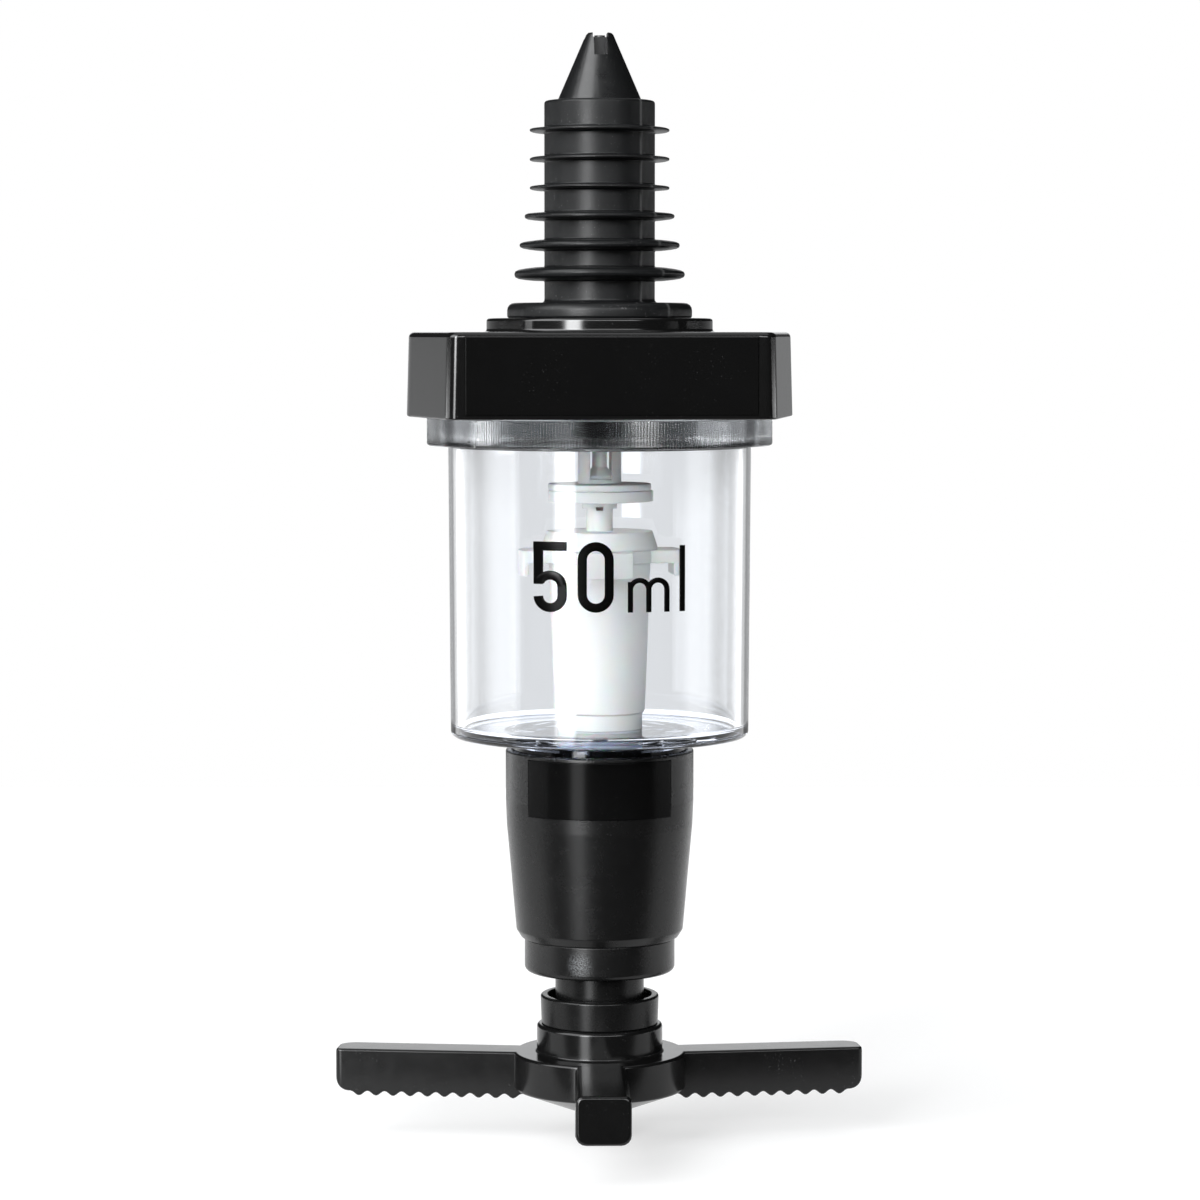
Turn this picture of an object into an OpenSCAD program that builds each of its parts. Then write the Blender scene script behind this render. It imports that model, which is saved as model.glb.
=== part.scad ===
// Liquor optic dispenser: a measuring tap that hangs under an upturned bottle.
// A glass pushed up under the crossbar lifts a sprung plunger, which shuts the
// inlet from the bottle and lets one measured dose run out of the spout.
// Millimetres. The axis of the dispenser is the Z axis, +Z points up to the
// bottle, the flat front of the cap faces -Y. The origin is on the axis, level
// with the underside of the measuring chamber, where a wall bracket holds it.

/* [Crossbar] */
// Width over the tips of the two side arms
arm_span = 85.7; // [70:0.1:100]
// Reach of the front arm from the axis
front_reach = 36.6; // [28:0.1:44]
// Height of the arms, finger ridges included
arm_h = 7.7; // [6.6:0.1:10]
// Thickness of the side arms, front to back
arm_t = 6.2; // [4:0.1:8]
// Angle by which the side arms sweep back
arm_sweep = 6.8; // [0:0.1:14]
// Width of the front arm at its tip
front_arm_w = 8.6; // [6:0.1:11]
// Width of the front arm at the disc
front_arm_root_w = 8.1; // [6:0.1:11]
// Turn of the crossbar about the axis in the rest pose
crossbar_turn = 1; // [-6:0.5:6]
// Distance from one finger ridge to the next
ridge_pitch = 2.8; // [2:0.1:4]
// Depth of the finger ridges
ridge_depth = 0.75; // [0.3:0.05:1.2]
// Number of finger ridges under each side arm
ridge_count = 10; // [4:1:10]
// Radius of the lower corner at the tip of each side arm
tip_corner_r = 2.2; // [1:0.1:3]
// Diameter of the disc that carries the arms
disc_d = 27.8; // [25:0.1:32]
// Height of the disc
disc_h = 5.9; // [4.5:0.1:6.5]
// Shoulder of the hub ring round the foot of the cup
hub_shoulder = 0.6; // [0.3:0.05:1.4]
// Height of the hub ring above the disc
hub_h = 4.6; // [3.5:0.1:6]
// Fall of the funnel from the disc to the spout
funnel_h = 3.8; // [2.5:0.1:5]
// Outside diameter of the spout
spout_d = 8.0; // [7:0.1:10]
// Diameter of the bore of the spout
spout_bore_d = 5.4; // [4.4:0.1:5.6]
// Length of the straight spout
spout_len = 4.7; // [4:0.1:9]

/* [Cup] */
// Outside diameter of the cup at its rim
cup_d = 19.1; // [18.2:0.1:19.2]
// Height of the cup above the hub ring
cup_h = 4.7; // [4:0.1:6.5]
// Wall of the cup at its rim
cup_wall = 1.25; // [0.8:0.05:1.5]

/* [Lower body] */
// Gap between the rim of the cup and the collar at rest
collar_gap = 3.9; // [2:0.1:4]
// Diameter of the retaining collar
collar_d = 24.2; // [22.6:0.1:26]
// Height of the retaining collar
collar_h = 5.5; // [4:0.1:8]
// Diameter of the lower body at its straight top
body_d = 30.2; // [29.6:0.1:34]
// Diameter of the lower body at its foot
body_foot_d = 26.9; // [25.5:0.1:29]
// Height of the lower body
body_h = 30.4; // [28:0.1:40]
// Height of the straight band at the top of the lower body
body_straight_h = 8.1; // [5:0.1:12]
// Wall of the lower body
body_wall = 1.8; // [1.2:0.1:2.2]
// Wall of the lower body round the spigot
socket_wall = 0.93; // [0.8:0.01:1.5]
// Width of the smooth panel on the lower body
body_panel_w = 22.6; // [15:0.1:26]
// Height of the smooth panel on the lower body
body_panel_h = 9.0; // [5:0.1:10]
// Outside diameter of the outlet tube
neck_d = 14.3; // [13.4:0.1:14.6]
// Bore of the outlet tube
neck_bore_d = 10.0; // [8:0.1:10.4]
// Depth of the end of the outlet tube in the cup at rest
neck_depth = 6.1; // [6:0.1:8]

/* [Chamber] */
// Diameter of the measuring chamber under its lip
chamber_d = 48.4; // [46:0.1:52]
// Draft of the chamber, by which its foot is smaller in radius
chamber_draft = 0.3; // [0:0.05:1]
// Height of the chamber from its underside to the lip
chamber_h = 46.7; // [44:0.1:62]
// Wall of the chamber
chamber_wall = 1.8; // [1:0.1:2.4]
// Thickness of the chamber floor
chamber_floor = 1.4; // [1:0.1:2]
// Wall of the spigot under the chamber
spigot_wall = 3.65; // [2.5:0.05:4.5]
// Length of spigot that shows above the lower body
spigot_show = 2.1; // [1.4:0.1:3]
// Length of spigot inside the lower body
spigot_in = 4.0; // [3:0.1:5]
// Step of the ribbed lip beyond the screwed rim
lip_step = 2.7; // [1.8:0.1:3.6]
// Height of the ribbed lip
lip_h = 4.6; // [3:0.1:6]
// Step of the screwed rim beyond the chamber
rim_step = 0.7; // [0.4:0.05:1.5]
// Height of the screwed rim above the lip
rim_h = 6.0; // [4:0.1:7]
// Height of the figures of the capacity mark
mark_h = 10.9; // [6:0.1:12]
// Height of the foot of the capacity mark above the underside of the chamber
mark_z = 21.6; // [12:0.1:30]
// Relief of the capacity mark
mark_relief = 0.3; // [0.1:0.05:0.6]

/* [Cap] */
// Turn of the cap, chamber and stopper on the lower body
head_turn = 4; // [-8:0.5:8]
// Overhang of the round back of the cap beyond the lip
cap_overhang = 3.0; // [2:0.1:5]
// Width of the flat front of the cap
cap_front_w = 50; // [44:0.1:54]
// Wall of the cap in front of the screwed rim
cap_front_wall = 3.1; // [3:0.1:4.6]
// Distance behind the axis line at which the flanks meet the round back, to the front
cap_flank = 3.5; // [1:0.1:6]
// Height of the cap
cap_h = 13.4; // [12:0.1:18]
// Radius of the upright front corners
cap_corner_r = 2.0; // [1:0.1:3]
// Thickness of the top of the cap
cap_top_t = 2.5; // [1.8:0.1:3]
// Diameter of the boss on the cap
boss_d = 36.1; // [33:0.1:42]
// Height of the boss on the cap
boss_h = 2.2; // [1.4:0.1:4]
// Margin of the cap's front at each side of the panel
panel_side_margin = 2.6; // [2.5:0.1:8]
// Margin of the cap's front above and below the panel
panel_margin = 0.7; // [0.5:0.1:3]
// Thickness of the plain front panel
panel_t = 0.5; // [0.3:0.05:0.8]

/* [Stopper] */
// Diameter of the body of the stopper
cork_d = 17.6; // [16.5:0.1:20]
// Height of the stopper above the boss
cork_h = 34.4; // [32:0.1:42]
// Diameter of the base flange of the stopper
cork_base_d = 29.5; // [26:0.1:32]
// Height of the base flange of the stopper
cork_base_h = 2.4; // [1.8:0.1:3]
// Number of sealing fins
fin_count = 6; // [3:1:6]
// Number of upper fins that share the smallest diameter
fin_even_count = 3; // [1:1:3]
// Diameter of the upper fins
fin_d = 22.2; // [20:0.1:24]
// Growth in diameter from one lower fin to the next
fin_growth = 1.65; // [0.5:0.05:1.8]
// Growth in root thickness from one lower fin to the next
fin_root_growth = 0.47; // [0.1:0.01:0.6]
// Distance from one fin to the next
fin_pitch = 4.55; // [4:0.05:4.7]
// Depth of the first fin below the top of the stopper
fin_first = 4.65; // [3:0.05:6]
// Thickness of the upper fins at their roots
fin_root = 0.8; // [0.6:0.05:1.2]
// Thickness of a fin at its edge
fin_edge = 0.3; // [0.2:0.05:0.5]

/* [Inlet nozzle] */
// Height of the cone above the stopper
cone_h = 10.7; // [8:0.1:14]
// Diameter of the cone where it sits on the stopper
cone_base_d = 13.4; // [12.4:0.1:16]
// Diameter of the cone at its tip
cone_tip_d = 4.4; // [4:0.1:6]
// Outside diameter of the nozzle tube through the stopper
nozzle_d = 10.4; // [9.4:0.1:11.4]
// Bore of the nozzle tube
nozzle_bore_d = 7.6; // [7.4:0.1:7.8]
// Width of the slots in the cone
slot_w = 2.1; // [1.2:0.1:2.4]
// Depth of the slots from the tip
slot_h = 3.6; // [2:0.1:5]
// Outside diameter of the breather tube
breather_d = 1.7; // [1.4:0.05:2]
// Bore of the breather tube
breather_bore_d = 0.9; // [0.6:0.05:1]

/* [Plunger] */
// Lift of the crossbar and plunger
travel = 6.0; // [3:0.1:6]
// Diameter of the plunger stem
stem_d = 4.2; // [3.6:0.1:4.4]
// Diameter of the air bore in the stem
vent_d = 1.8; // [1:0.1:1.8]
// Diameter of the inlet valve plates
plate_d = 16.5; // [14:0.1:19]
// Thickness of the upper plate, a soft seal
seal_plate_t = 1.1; // [0.8:0.05:1.6]
// Thickness of the lower, stiff plate
back_plate_t = 1.8; // [1.2:0.05:2.4]
// Outside diameter of the guide cage on the plates
cage_d = 6.9; // [6.4:0.05:7]
// Width of the windows of the guide cage
cage_window = 3.4; // [2.4:0.1:3.6]
// Diameter of the domed stem head in the cage
head_d = 5.2; // [4.8:0.05:5.2]
// Depth by which the cage reaches into the inlet at rest
cage_engage = 3.0; // [2:0.1:4]
// Radial clearance of the outlet plug in the column
plug_clear = 0.7; // [0.4:0.05:1]
// Height of the outlet plug
plug_h = 3.2; // [2.4:0.1:4]

/* [Spring column] */
// Room for the inlet valve, from the wing plate's underside to the lip
inlet_room = 18.7; // [17.5:0.1:22]
// Wall of the spring column under the wing plate
column_top_wall = 2.55; // [1.8:0.05:3.4]
// Wall of the spring column above its foot ring
column_low_wall = 1.65; // [1.4:0.05:2]
// Wall of the foot ring of the spring column
column_foot_wall = 1.3; // [1:0.05:1.5]
// Radial clearance of the spring in the column
spring_clear = 0.8; // [0.6:0.05:1.2]
// Span of the wings of the wing plate
wing_span = 26.2; // [22:0.1:30]
// Width of each wing
wing_w = 9; // [6:0.1:12]
// Thickness of the wing plate
wing_t = 2.1; // [1.4:0.1:2.6]
// Drop of the hooks at the wing tips
hook_drop = 2.0; // [1:0.1:3]
// Height of the bell cap
bell_h = 2.9; // [2.4:0.1:4]
// Diameter of the bell cap at its rim
bell_d = 18.5; // [17.6:0.1:21]
// Diameter of the bell cap at its top
bell_top_d = 16.9; // [15:0.1:18]
// Diameter of the spring wire
wire_d = 0.8; // [0.6:0.05:1]
// Outside diameter of the spring
spring_d = 9.6; // [9:0.1:10]
// Number of turns of the spring
spring_turns = 8; // [5:1:9]

/* [Fits] */
// Radial clearance of parts that slide or turn in each other
run_gap = 0.06; // [0.03:0.01:0.09]
// Clearance between parts that are pressed, screwed or seated together
seat_gap = 0.02; // [0.01:0.01:0.05]
// Clearance at the valve faces and axial stops
face_gap = 0.1; // [0.05:0.05:0.2]

/* [Hidden] */
$fn = 96;
hair = 0.01;   // overshoot of a cutter past the face that it opens

// Levels along the axis, downwards from the underside of the chamber
body_top_z = -spigot_show;
body_foot_z = body_top_z - body_h;
collar_foot_z = body_foot_z - collar_h;
cup_top_z = collar_foot_z - collar_gap;
hub_top_z = cup_top_z - cup_h;
disc_top_z = hub_top_z - hub_h;
disc_foot_z = disc_top_z - disc_h;
funnel_foot_z = disc_foot_z - funnel_h;
spout_z = funnel_foot_z - spout_len;

// Levels along the axis, upwards from the underside of the chamber
lip_z = chamber_h;
lip_top_z = lip_z + lip_h;
cap_top_z = lip_top_z + cap_h;
boss_top_z = cap_top_z + boss_h;
cork_top_z = boss_top_z + cork_h;
tip_z = cork_top_z + cone_h;
floor_z = chamber_floor;
column_top_z = lip_z - inlet_room;
wing_top_z = column_top_z + wing_t;
bell_top_z = wing_top_z + bell_h;

// Inlet valve: the washer's face is the seat, the plates hang below it by the travel
seat_r = plate_d / 2 + 1.2;
seat_washer_t = 1.2;
inlet_seat_z = lip_z;
plates_top_z = inlet_seat_z - travel - face_gap;
seal_plate_z = plates_top_z - seal_plate_t;
plates_foot_z = seal_plate_z - back_plate_t;
cage_base_t = 0.7;
head_z = plates_top_z + cage_base_t;
dome_h = 1.4;
pin_d = 2.4;
pin_h = 5.6;
inlet_bore_r = cage_d / 2 + run_gap;
cage_top_z = inlet_seat_z + cage_engage;
stem_pin_d = 2.9;   // stem inside the plates
collar_stem_d = 5.6;
collar_stem_h = 1.1;
lug_w = 2;         // moulding lug on the lower plate
lug_reach = 0.3;

// Chamber
chamber_r = chamber_d / 2;
chamber_foot_r = chamber_r - chamber_draft;
rim_r = chamber_r + rim_step;
lip_r = rim_r + lip_step;
gasket_t = 1.2;
gasket_w = 2.4;
foot_round = 1.0;   // rounded lower edge of the chamber
body_r = body_d / 2;
fillet_r = body_r + 0.25;   // the spigot's fillet starts clear of the lower body
spigot_foot_z = body_top_z - spigot_in;
socket_r = body_r - socket_wall;
spigot_r = socket_r - seat_gap;
spigot_bore_r = spigot_r - spigot_wall;
column_bore_r = spring_d / 2 + spring_clear;
column_foot_r = column_bore_r + column_foot_wall;

// Cap
cap_r = lip_r + cap_overhang;
cap_front = rim_r + cap_front_wall;
panel_w = cap_front_w - 2 * panel_side_margin;
panel_h = cap_h - 2 * panel_margin;
function chamber_r_at(z) = chamber_foot_r + (chamber_r - chamber_foot_r) * z / chamber_h;

// Outlet
boss_r = spigot_bore_r - seat_gap;
tube_boss_z = -1.1;   // top of the outlet tube's boss inside the spigot
outlet_washer_t = 1.6;
outlet_washer_r = column_bore_r - 0.15;
outlet_way_r = stem_d / 2 + 1.5;   // the way that the stem leaves for the liquid
tube_flange_t = 2.0;
ledge_z = spigot_foot_z - seat_gap - tube_flange_t - seat_gap;
neck_r = neck_d / 2;
neck_bore_r = neck_bore_d / 2;
neck_foot_z = cup_top_z - neck_depth;
hub_bore_r = neck_r + run_gap;
seal_groove_z = neck_foot_z + 0.9;
seal_groove_h = 1.6;
seal_groove_depth = 0.9;
boss_groove_z = spigot_foot_z - seat_gap + 0.9;
boss_groove_h = 1.6;
boss_groove_depth = 1.1;

// Lower body
body_foot_r = body_foot_d / 2;
cup_r = cup_d / 2;
collar_bore_r = cup_r + 0.35;
bush_step = 0.4;   // depth of the collar's step under the bush
collar_spigot_h = 4.0;
collar_spigot_r = collar_d / 2 - 1.2;
bush_seat_r = hub_bore_r + 1.4;
bush_flange_t = 1.2;

// Crossbar
arm_foot_z = disc_top_z - arm_h;
arm_tip = (arm_span / 2 - arm_t / 2 * sin(arm_sweep)) / cos(arm_sweep);
ridge_first = 13.8;   // distance of the innermost finger ridge from the axis
ridge_steps = 8;
hub_wall_r = cup_r - 0.95;
cup_seat_depth = 3.0;
foot_z = disc_foot_z - 0.3;
foot_t = 1.35;
foot_rim = 0.85;
clip_z = foot_z + face_gap / 2 + foot_t + face_gap;
clip_t = 0.6;
clip_depth = 0.5;

// Spring: it works between the bell cap and the spring seat on the stem
spring_wire_r = wire_d / 2;
spring_r = spring_d / 2 - spring_wire_r;
plug_z = tube_boss_z + face_gap;
spring_seat_t = 1.2;
spring_low_z = plug_z + plug_h + spring_seat_t;
bell_skirt_h = 2.0;
spring_high_z = wing_top_z;
spring_steps = 16;
spring_sides = 6;

// ---------- helpers ----------

module ring(r_out, r_in, z_low, z_high)
  translate([0, 0, z_low])
    difference() {
      cylinder(r = r_out, h = z_high - z_low);
      translate([0, 0, -hair]) cylinder(r = r_in, h = z_high - z_low + 2 * hair);
    }

module rod(r, z_low, z_high)
  translate([0, 0, z_low]) cylinder(r = r, h = z_high - z_low);

// A turned piece from its outline in the (radius, height) plane
module turned(outline) rotate_extrude() polygon(outline);

// A rounded bar section, centred across, with its own top and bottom corner radii
module bar_section(w, h, top_r, low_r) {
  translate([-w / 2, low_r]) square([w, h - top_r - low_r]);
  translate([-w / 2 + top_r, h - top_r - hair]) square([w - 2 * top_r, top_r + hair]);
  translate([-w / 2 + low_r, 0]) square([w - 2 * low_r, low_r + hair]);
  for (side = [-1, 1]) {
    translate([side * (w / 2 - top_r), h - top_r]) circle(r = top_r);
    translate([side * (w / 2 - low_r), low_r]) circle(r = low_r);
  }
}

// ---------- stopper and nozzle ----------

function fin_r(i) = fin_d / 2 + max(0, i - fin_even_count + 1) * fin_growth / 2;
function fin_root_t(i) = fin_root + max(0, i - fin_even_count + 1) * fin_root_growth;

module cork_stopper() {
  body_r = cork_d / 2;
  base_r = cork_base_d / 2;
  edge = 0.4;
  round = 1.5;
  color([0.10, 0.10, 0.10])
    difference() {
      union() {
        rod(body_r, boss_top_z, cork_top_z - edge);
        turned([[0, cork_top_z - edge - hair], [body_r, cork_top_z - edge - hair],
                [body_r, cork_top_z - edge], [body_r - edge, cork_top_z], [0, cork_top_z]]);
        // base flange with a rounded upper rim
        rod(base_r, boss_top_z + seat_gap, boss_top_z + cork_base_h - round);
        rod(base_r - round, boss_top_z + seat_gap, boss_top_z + cork_base_h);
        translate([0, 0, boss_top_z + cork_base_h - round])
          rotate_extrude() translate([base_r - round, 0]) circle(r = round, $fn = 48);
        for (i = [0 : fin_count - 1]) {
          z = cork_top_z - fin_first - i * fin_pitch;
          turned([[body_r - 1, z - fin_root_t(i) / 2], [body_r, z - fin_root_t(i) / 2],
                  [fin_r(i), z - fin_edge / 2], [fin_r(i), z + fin_edge / 2],
                  [body_r, z + fin_root_t(i) / 2], [body_r - 1, z + fin_root_t(i) / 2]]);
        }
      }
      rod(nozzle_d / 2 + seat_gap, boss_top_z - 1, cork_top_z + 1);
      rod(base_r + 1, boss_top_z - 2, boss_top_z + seat_gap);
    }
}

module inlet_nozzle() {
  bore_r = nozzle_bore_d / 2;
  tip_r = cone_tip_d / 2;
  base_r = cone_base_d / 2;
  thread_depth = cap_top_t + boss_h;
  throat_z = tip_z - slot_h - 0.6;
  color([0.09, 0.09, 0.09])
    difference() {
      union() {
        rod(nozzle_d / 2, boss_top_z - thread_depth, cork_top_z + 1);
        turned([[0, cork_top_z + seat_gap], [base_r, cork_top_z + seat_gap],
                [tip_r, tip_z - 0.3], [tip_r - 0.3, tip_z], [0, tip_z]]);
      }
      rod(bore_r, boss_top_z - thread_depth - 1, cork_top_z + 2);
      turned([[0, cork_top_z + 1.9], [bore_r, cork_top_z + 1.9],
              [breather_d / 2 + seat_gap, throat_z], [0, throat_z]]);
      rod(breather_d / 2 + seat_gap, throat_z - 1, tip_z + 1);
      // two deep slots, front and back, and a shallow notch at each side
      for (turn = [0, 180])
        rotate([0, 0, turn + head_turn])
          translate([-slot_w / 2, -base_r, tip_z - slot_h])
            cube([slot_w, base_r - breather_d / 2 - 0.25, slot_h + 1]);
      rotate([0, 0, head_turn])
        translate([-base_r, -slot_w / 4, tip_z - 1])
          cube([base_r - breather_d / 2 - 0.25, slot_w / 2, 2]);
    }
}

module breather_tube()
  color([0.12, 0.12, 0.12])
    ring(breather_d / 2, breather_bore_d / 2, boss_top_z, tip_z - 0.4);

// ---------- cap ----------

// Plan outline of the cap: round back, flat front, straight flanks, round corners
module cap_outline() {
  flank_x = sqrt(cap_r * cap_r - cap_flank * cap_flank);
  front_x = cap_front_w / 2;
  lean = atan((flank_x - front_x) / (cap_front - cap_flank));
  run = cap_corner_r / tan((90 + lean) / 2);
  difference() {
    circle(r = cap_r);
    translate([-cap_r - 1, -cap_r - 1]) square([2 * cap_r + 2, cap_r + 1 - cap_flank]);
  }
  polygon([
    [-flank_x, -cap_flank + hair],
    [-front_x - run * sin(lean), -cap_front + run * cos(lean)],
    [-front_x + run, -cap_front + cap_corner_r],
    [-front_x + run, -cap_front],
    [front_x - run, -cap_front],
    [front_x - run, -cap_front + cap_corner_r],
    [front_x + run * sin(lean), -cap_front + run * cos(lean)],
    [flank_x, -cap_flank + hair]
  ]);
  for (side = [-1, 1])
    translate([side * (front_x - run), -cap_front + cap_corner_r]) circle(r = cap_corner_r);
}

module cap() {
  shelf_z = lip_top_z + rim_h + gasket_t;
  inlet_r = seat_r + 1.2;
  color([0.04, 0.04, 0.04])
    difference() {
      union() {
        rotate([0, 0, head_turn])
          translate([0, 0, lip_top_z + seat_gap])
            linear_extrude(cap_h - seat_gap) cap_outline();
        rod(boss_d / 2, cap_top_z - hair, boss_top_z);
      }
      // screwed cavity for the chamber's rim, and the hollow above it round the inlet
      rod(rim_r + seat_gap, lip_top_z - 1, shelf_z);
      difference() {
        rod(rim_r - gasket_w - 0.2, shelf_z - hair, cap_top_z - cap_top_t);
        rod(inlet_r, shelf_z - 1, cap_top_z);
      }
      // seat of the nozzle
      rod(nozzle_d / 2 + seat_gap, boss_top_z - cap_top_t - boss_h, boss_top_z + 1);
      rod(inlet_bore_r, lip_z - 1, boss_top_z);
      // recess of the front panel
      rotate([0, 0, head_turn]) panel_block(0);
    }
  // inlet boss that reaches down to the seat washer
  color([0.04, 0.04, 0.04])
    ring(inlet_r, inlet_bore_r, inlet_seat_z + seat_washer_t, shelf_z + hair);
}

module panel_block(gap)
  translate([-panel_w / 2 + gap, -cap_front - (gap > 0 ? 0 : 1), lip_top_z + (cap_h - panel_h) / 2 + gap])
    cube([panel_w - 2 * gap, panel_t + (gap > 0 ? -gap : 1), panel_h - 2 * gap]);

module front_panel()
  color([0.05, 0.05, 0.05]) rotate([0, 0, head_turn]) panel_block(seat_gap);

module cap_gasket()
  color([0.2, 0.2, 0.2])
    ring(rim_r - seat_gap, rim_r - gasket_w, lip_top_z + rim_h + seat_gap,
         lip_top_z + rim_h + gasket_t - seat_gap);

module inlet_seat_washer()
  color([0.25, 0.25, 0.25])
    ring(seat_r, inlet_bore_r + 0.2, inlet_seat_z, inlet_seat_z + seat_washer_t - seat_gap);

// ---------- chamber ----------

module measuring_chamber()
  color([0.85, 0.9, 0.95, 0.35])
    turned([
      [column_foot_r + seat_gap, 0],
      [spigot_bore_r, 0],
      [spigot_bore_r, spigot_foot_z],
      [spigot_r, spigot_foot_z],
      [spigot_r, spigot_r - fillet_r],
      [fillet_r, 0],
      [chamber_foot_r - foot_round, 0],
      for (a = [0 : 15 : 90])
        [chamber_foot_r - foot_round + foot_round * sin(a), foot_round - foot_round * cos(a)],
      [chamber_r, lip_z],
      [lip_r - 0.2, lip_z],
      [lip_r, lip_z + 0.4],
      [lip_r, lip_top_z - 0.3],
      [lip_r - 0.2, lip_top_z],
      [rim_r - seat_gap, lip_top_z],
      [rim_r - seat_gap, lip_top_z + rim_h],
      [chamber_r - chamber_wall, lip_top_z + rim_h],
      [chamber_r - chamber_wall, lip_z],
      [chamber_foot_r - chamber_wall, floor_z + 0.5],
      [chamber_foot_r - chamber_wall - 0.5, floor_z],
      [column_foot_r + seat_gap, floor_z]
    ]);

// The figures 5 and 0 are strokes 1.4 wide, the letters m and l strokes 0.8 wide
figure_stroke = 1.4;
letter_stroke = 0.8;

module stadium(w, h)
  translate([0, w / 2]) {
    square([w, h - w]);
    translate([w / 2, 0]) circle(r = w / 2, $fn = 48);
    translate([w / 2, h - w]) circle(r = w / 2, $fn = 48);
  }

module figure_zero(w, h, s)
  difference() {
    stadium(w, h);
    translate([s, s]) stadium(w - 2 * s, h - 2 * s);
  }

module figure_five(w, h, s) {
  bowl_h = h * 0.59;
  bar_h = h - bowl_h + s;
  translate([0, h - s]) square([w, s]);
  translate([0, h - bar_h - s / 2]) square([s, bar_h + s / 2]);
  difference() {
    figure_zero(w, bowl_h, s);
    translate([-1, w / 2]) square([s + 1.1, bowl_h - w / 2 - s * 1.35]);
  }
}

module letter_m(w, h, s) {
  arch = (w + s) / 2;
  for (i = [0, 1])
    translate([i * (arch - s), 0])
      intersection() {
        translate([0, -arch]) figure_zero(arch, h + arch, s);
        square([arch, h]);
      }
}

module letter_l(h, s) stadium(s, h);

module capacity_mark() {
  low_h = mark_h * 0.49;
  tall_h = mark_h * 0.94;
  widths = [mark_h * 0.455, mark_h * 0.505, mark_h * 0.60];
  starts = [-1.067, -0.46, 0.245, 0.998] * mark_h;
  color([0.03, 0.03, 0.03])
    intersection() {
      rotate([0, 0, head_turn])
        translate([0, 0, mark_z])
          rotate([90, 0, 0])
            linear_extrude(chamber_r + 5) {
              translate([starts[0], 0]) figure_five(widths[0], mark_h, figure_stroke);
              translate([starts[1], 0]) figure_zero(widths[1], mark_h, figure_stroke);
              translate([starts[2], 0]) letter_m(widths[2], low_h, letter_stroke);
              translate([starts[3], 0]) letter_l(tall_h, letter_stroke);
            }
      turned([
        [chamber_r_at(mark_z - 2) + seat_gap, mark_z - 2],
        [chamber_r_at(mark_z - 2) + mark_relief, mark_z - 2],
        [chamber_r_at(mark_z + mark_h + 2) + mark_relief, mark_z + mark_h + 2],
        [chamber_r_at(mark_z + mark_h + 2) + seat_gap, mark_z + mark_h + 2]
      ]);
    }
}

// ---------- spring column in the chamber ----------

module spring_column() {
  ring_h = 2.4;
  ring_top_z = floor_z + ring_h;
  color([0.93, 0.93, 0.91])
    difference() {
      turned([
        [column_bore_r, tube_boss_z + seat_gap],
        [column_foot_r, tube_boss_z + seat_gap],
        [column_foot_r, ring_top_z],
        [column_bore_r + column_low_wall, ring_top_z + 0.3],
        [column_bore_r + column_top_wall, column_top_z],
        [column_bore_r, column_top_z]
      ]);
      // liquid enters through windows just above the chamber floor, none at the front
      for (turn = [0, 90, 180])
        rotate([0, 0, turn + head_turn])
          translate([column_bore_r - 1, -1.6, floor_z + 0.1]) cube([4, 3.2, 2.0]);
    }
}

module wing_plate() {
  tip = wing_span / 2;
  hook_t = 1.6;
  color([0.93, 0.93, 0.91])
    rotate([0, 0, head_turn])
      difference() {
        union() {
          rod(column_bore_r + column_top_wall + 0.9, column_top_z + seat_gap, wing_top_z);
          intersection() {
            rod(tip, column_top_z - hook_drop, wing_top_z);
            union() {
              for (turn = [0, 90, 180, 270])
                rotate([0, 0, turn])
                  translate([0, -wing_w / 2, column_top_z + seat_gap])
                    cube([tip + 1, wing_w, wing_t - seat_gap]);
              for (turn = [0, 90, 180, 270])
                rotate([0, 0, turn])
                  translate([tip - hook_t, -wing_w / 2, column_top_z - hook_drop])
                    cube([hook_t + 1, wing_w, hook_drop + 1]);
            }
          }
        }
        rod(column_bore_r + seat_gap, column_top_z - 1, wing_top_z + 1);
      }
}

module bell_cap()
  color([0.94, 0.94, 0.92])
    difference() {
      union() {
        turned([[0, wing_top_z + seat_gap], [bell_d / 2, wing_top_z + seat_gap],
                [bell_d / 2, wing_top_z + 0.5], [bell_top_d / 2, bell_top_z], [0, bell_top_z]]);
        ring(column_bore_r, column_bore_r - 0.55, wing_top_z - wing_t - bell_skirt_h / 4, wing_top_z + 0.5);
      }
      rod(stem_d / 2 + run_gap, wing_top_z - 3, bell_top_z + 1);
      // four air holes round the stem
      for (turn = [45 : 90 : 315])
        rotate([0, 0, turn]) translate([spring_r + 1.6, 0, wing_top_z - 1])
          cylinder(d = 1.2, h = bell_h + 2, $fn = 24);
    }

// ---------- outlet ----------

module outlet_seat_washer()
  color([0.25, 0.25, 0.25])
    ring(outlet_washer_r - seat_gap, outlet_way_r, tube_boss_z - outlet_washer_t + seat_gap, tube_boss_z);

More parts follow.
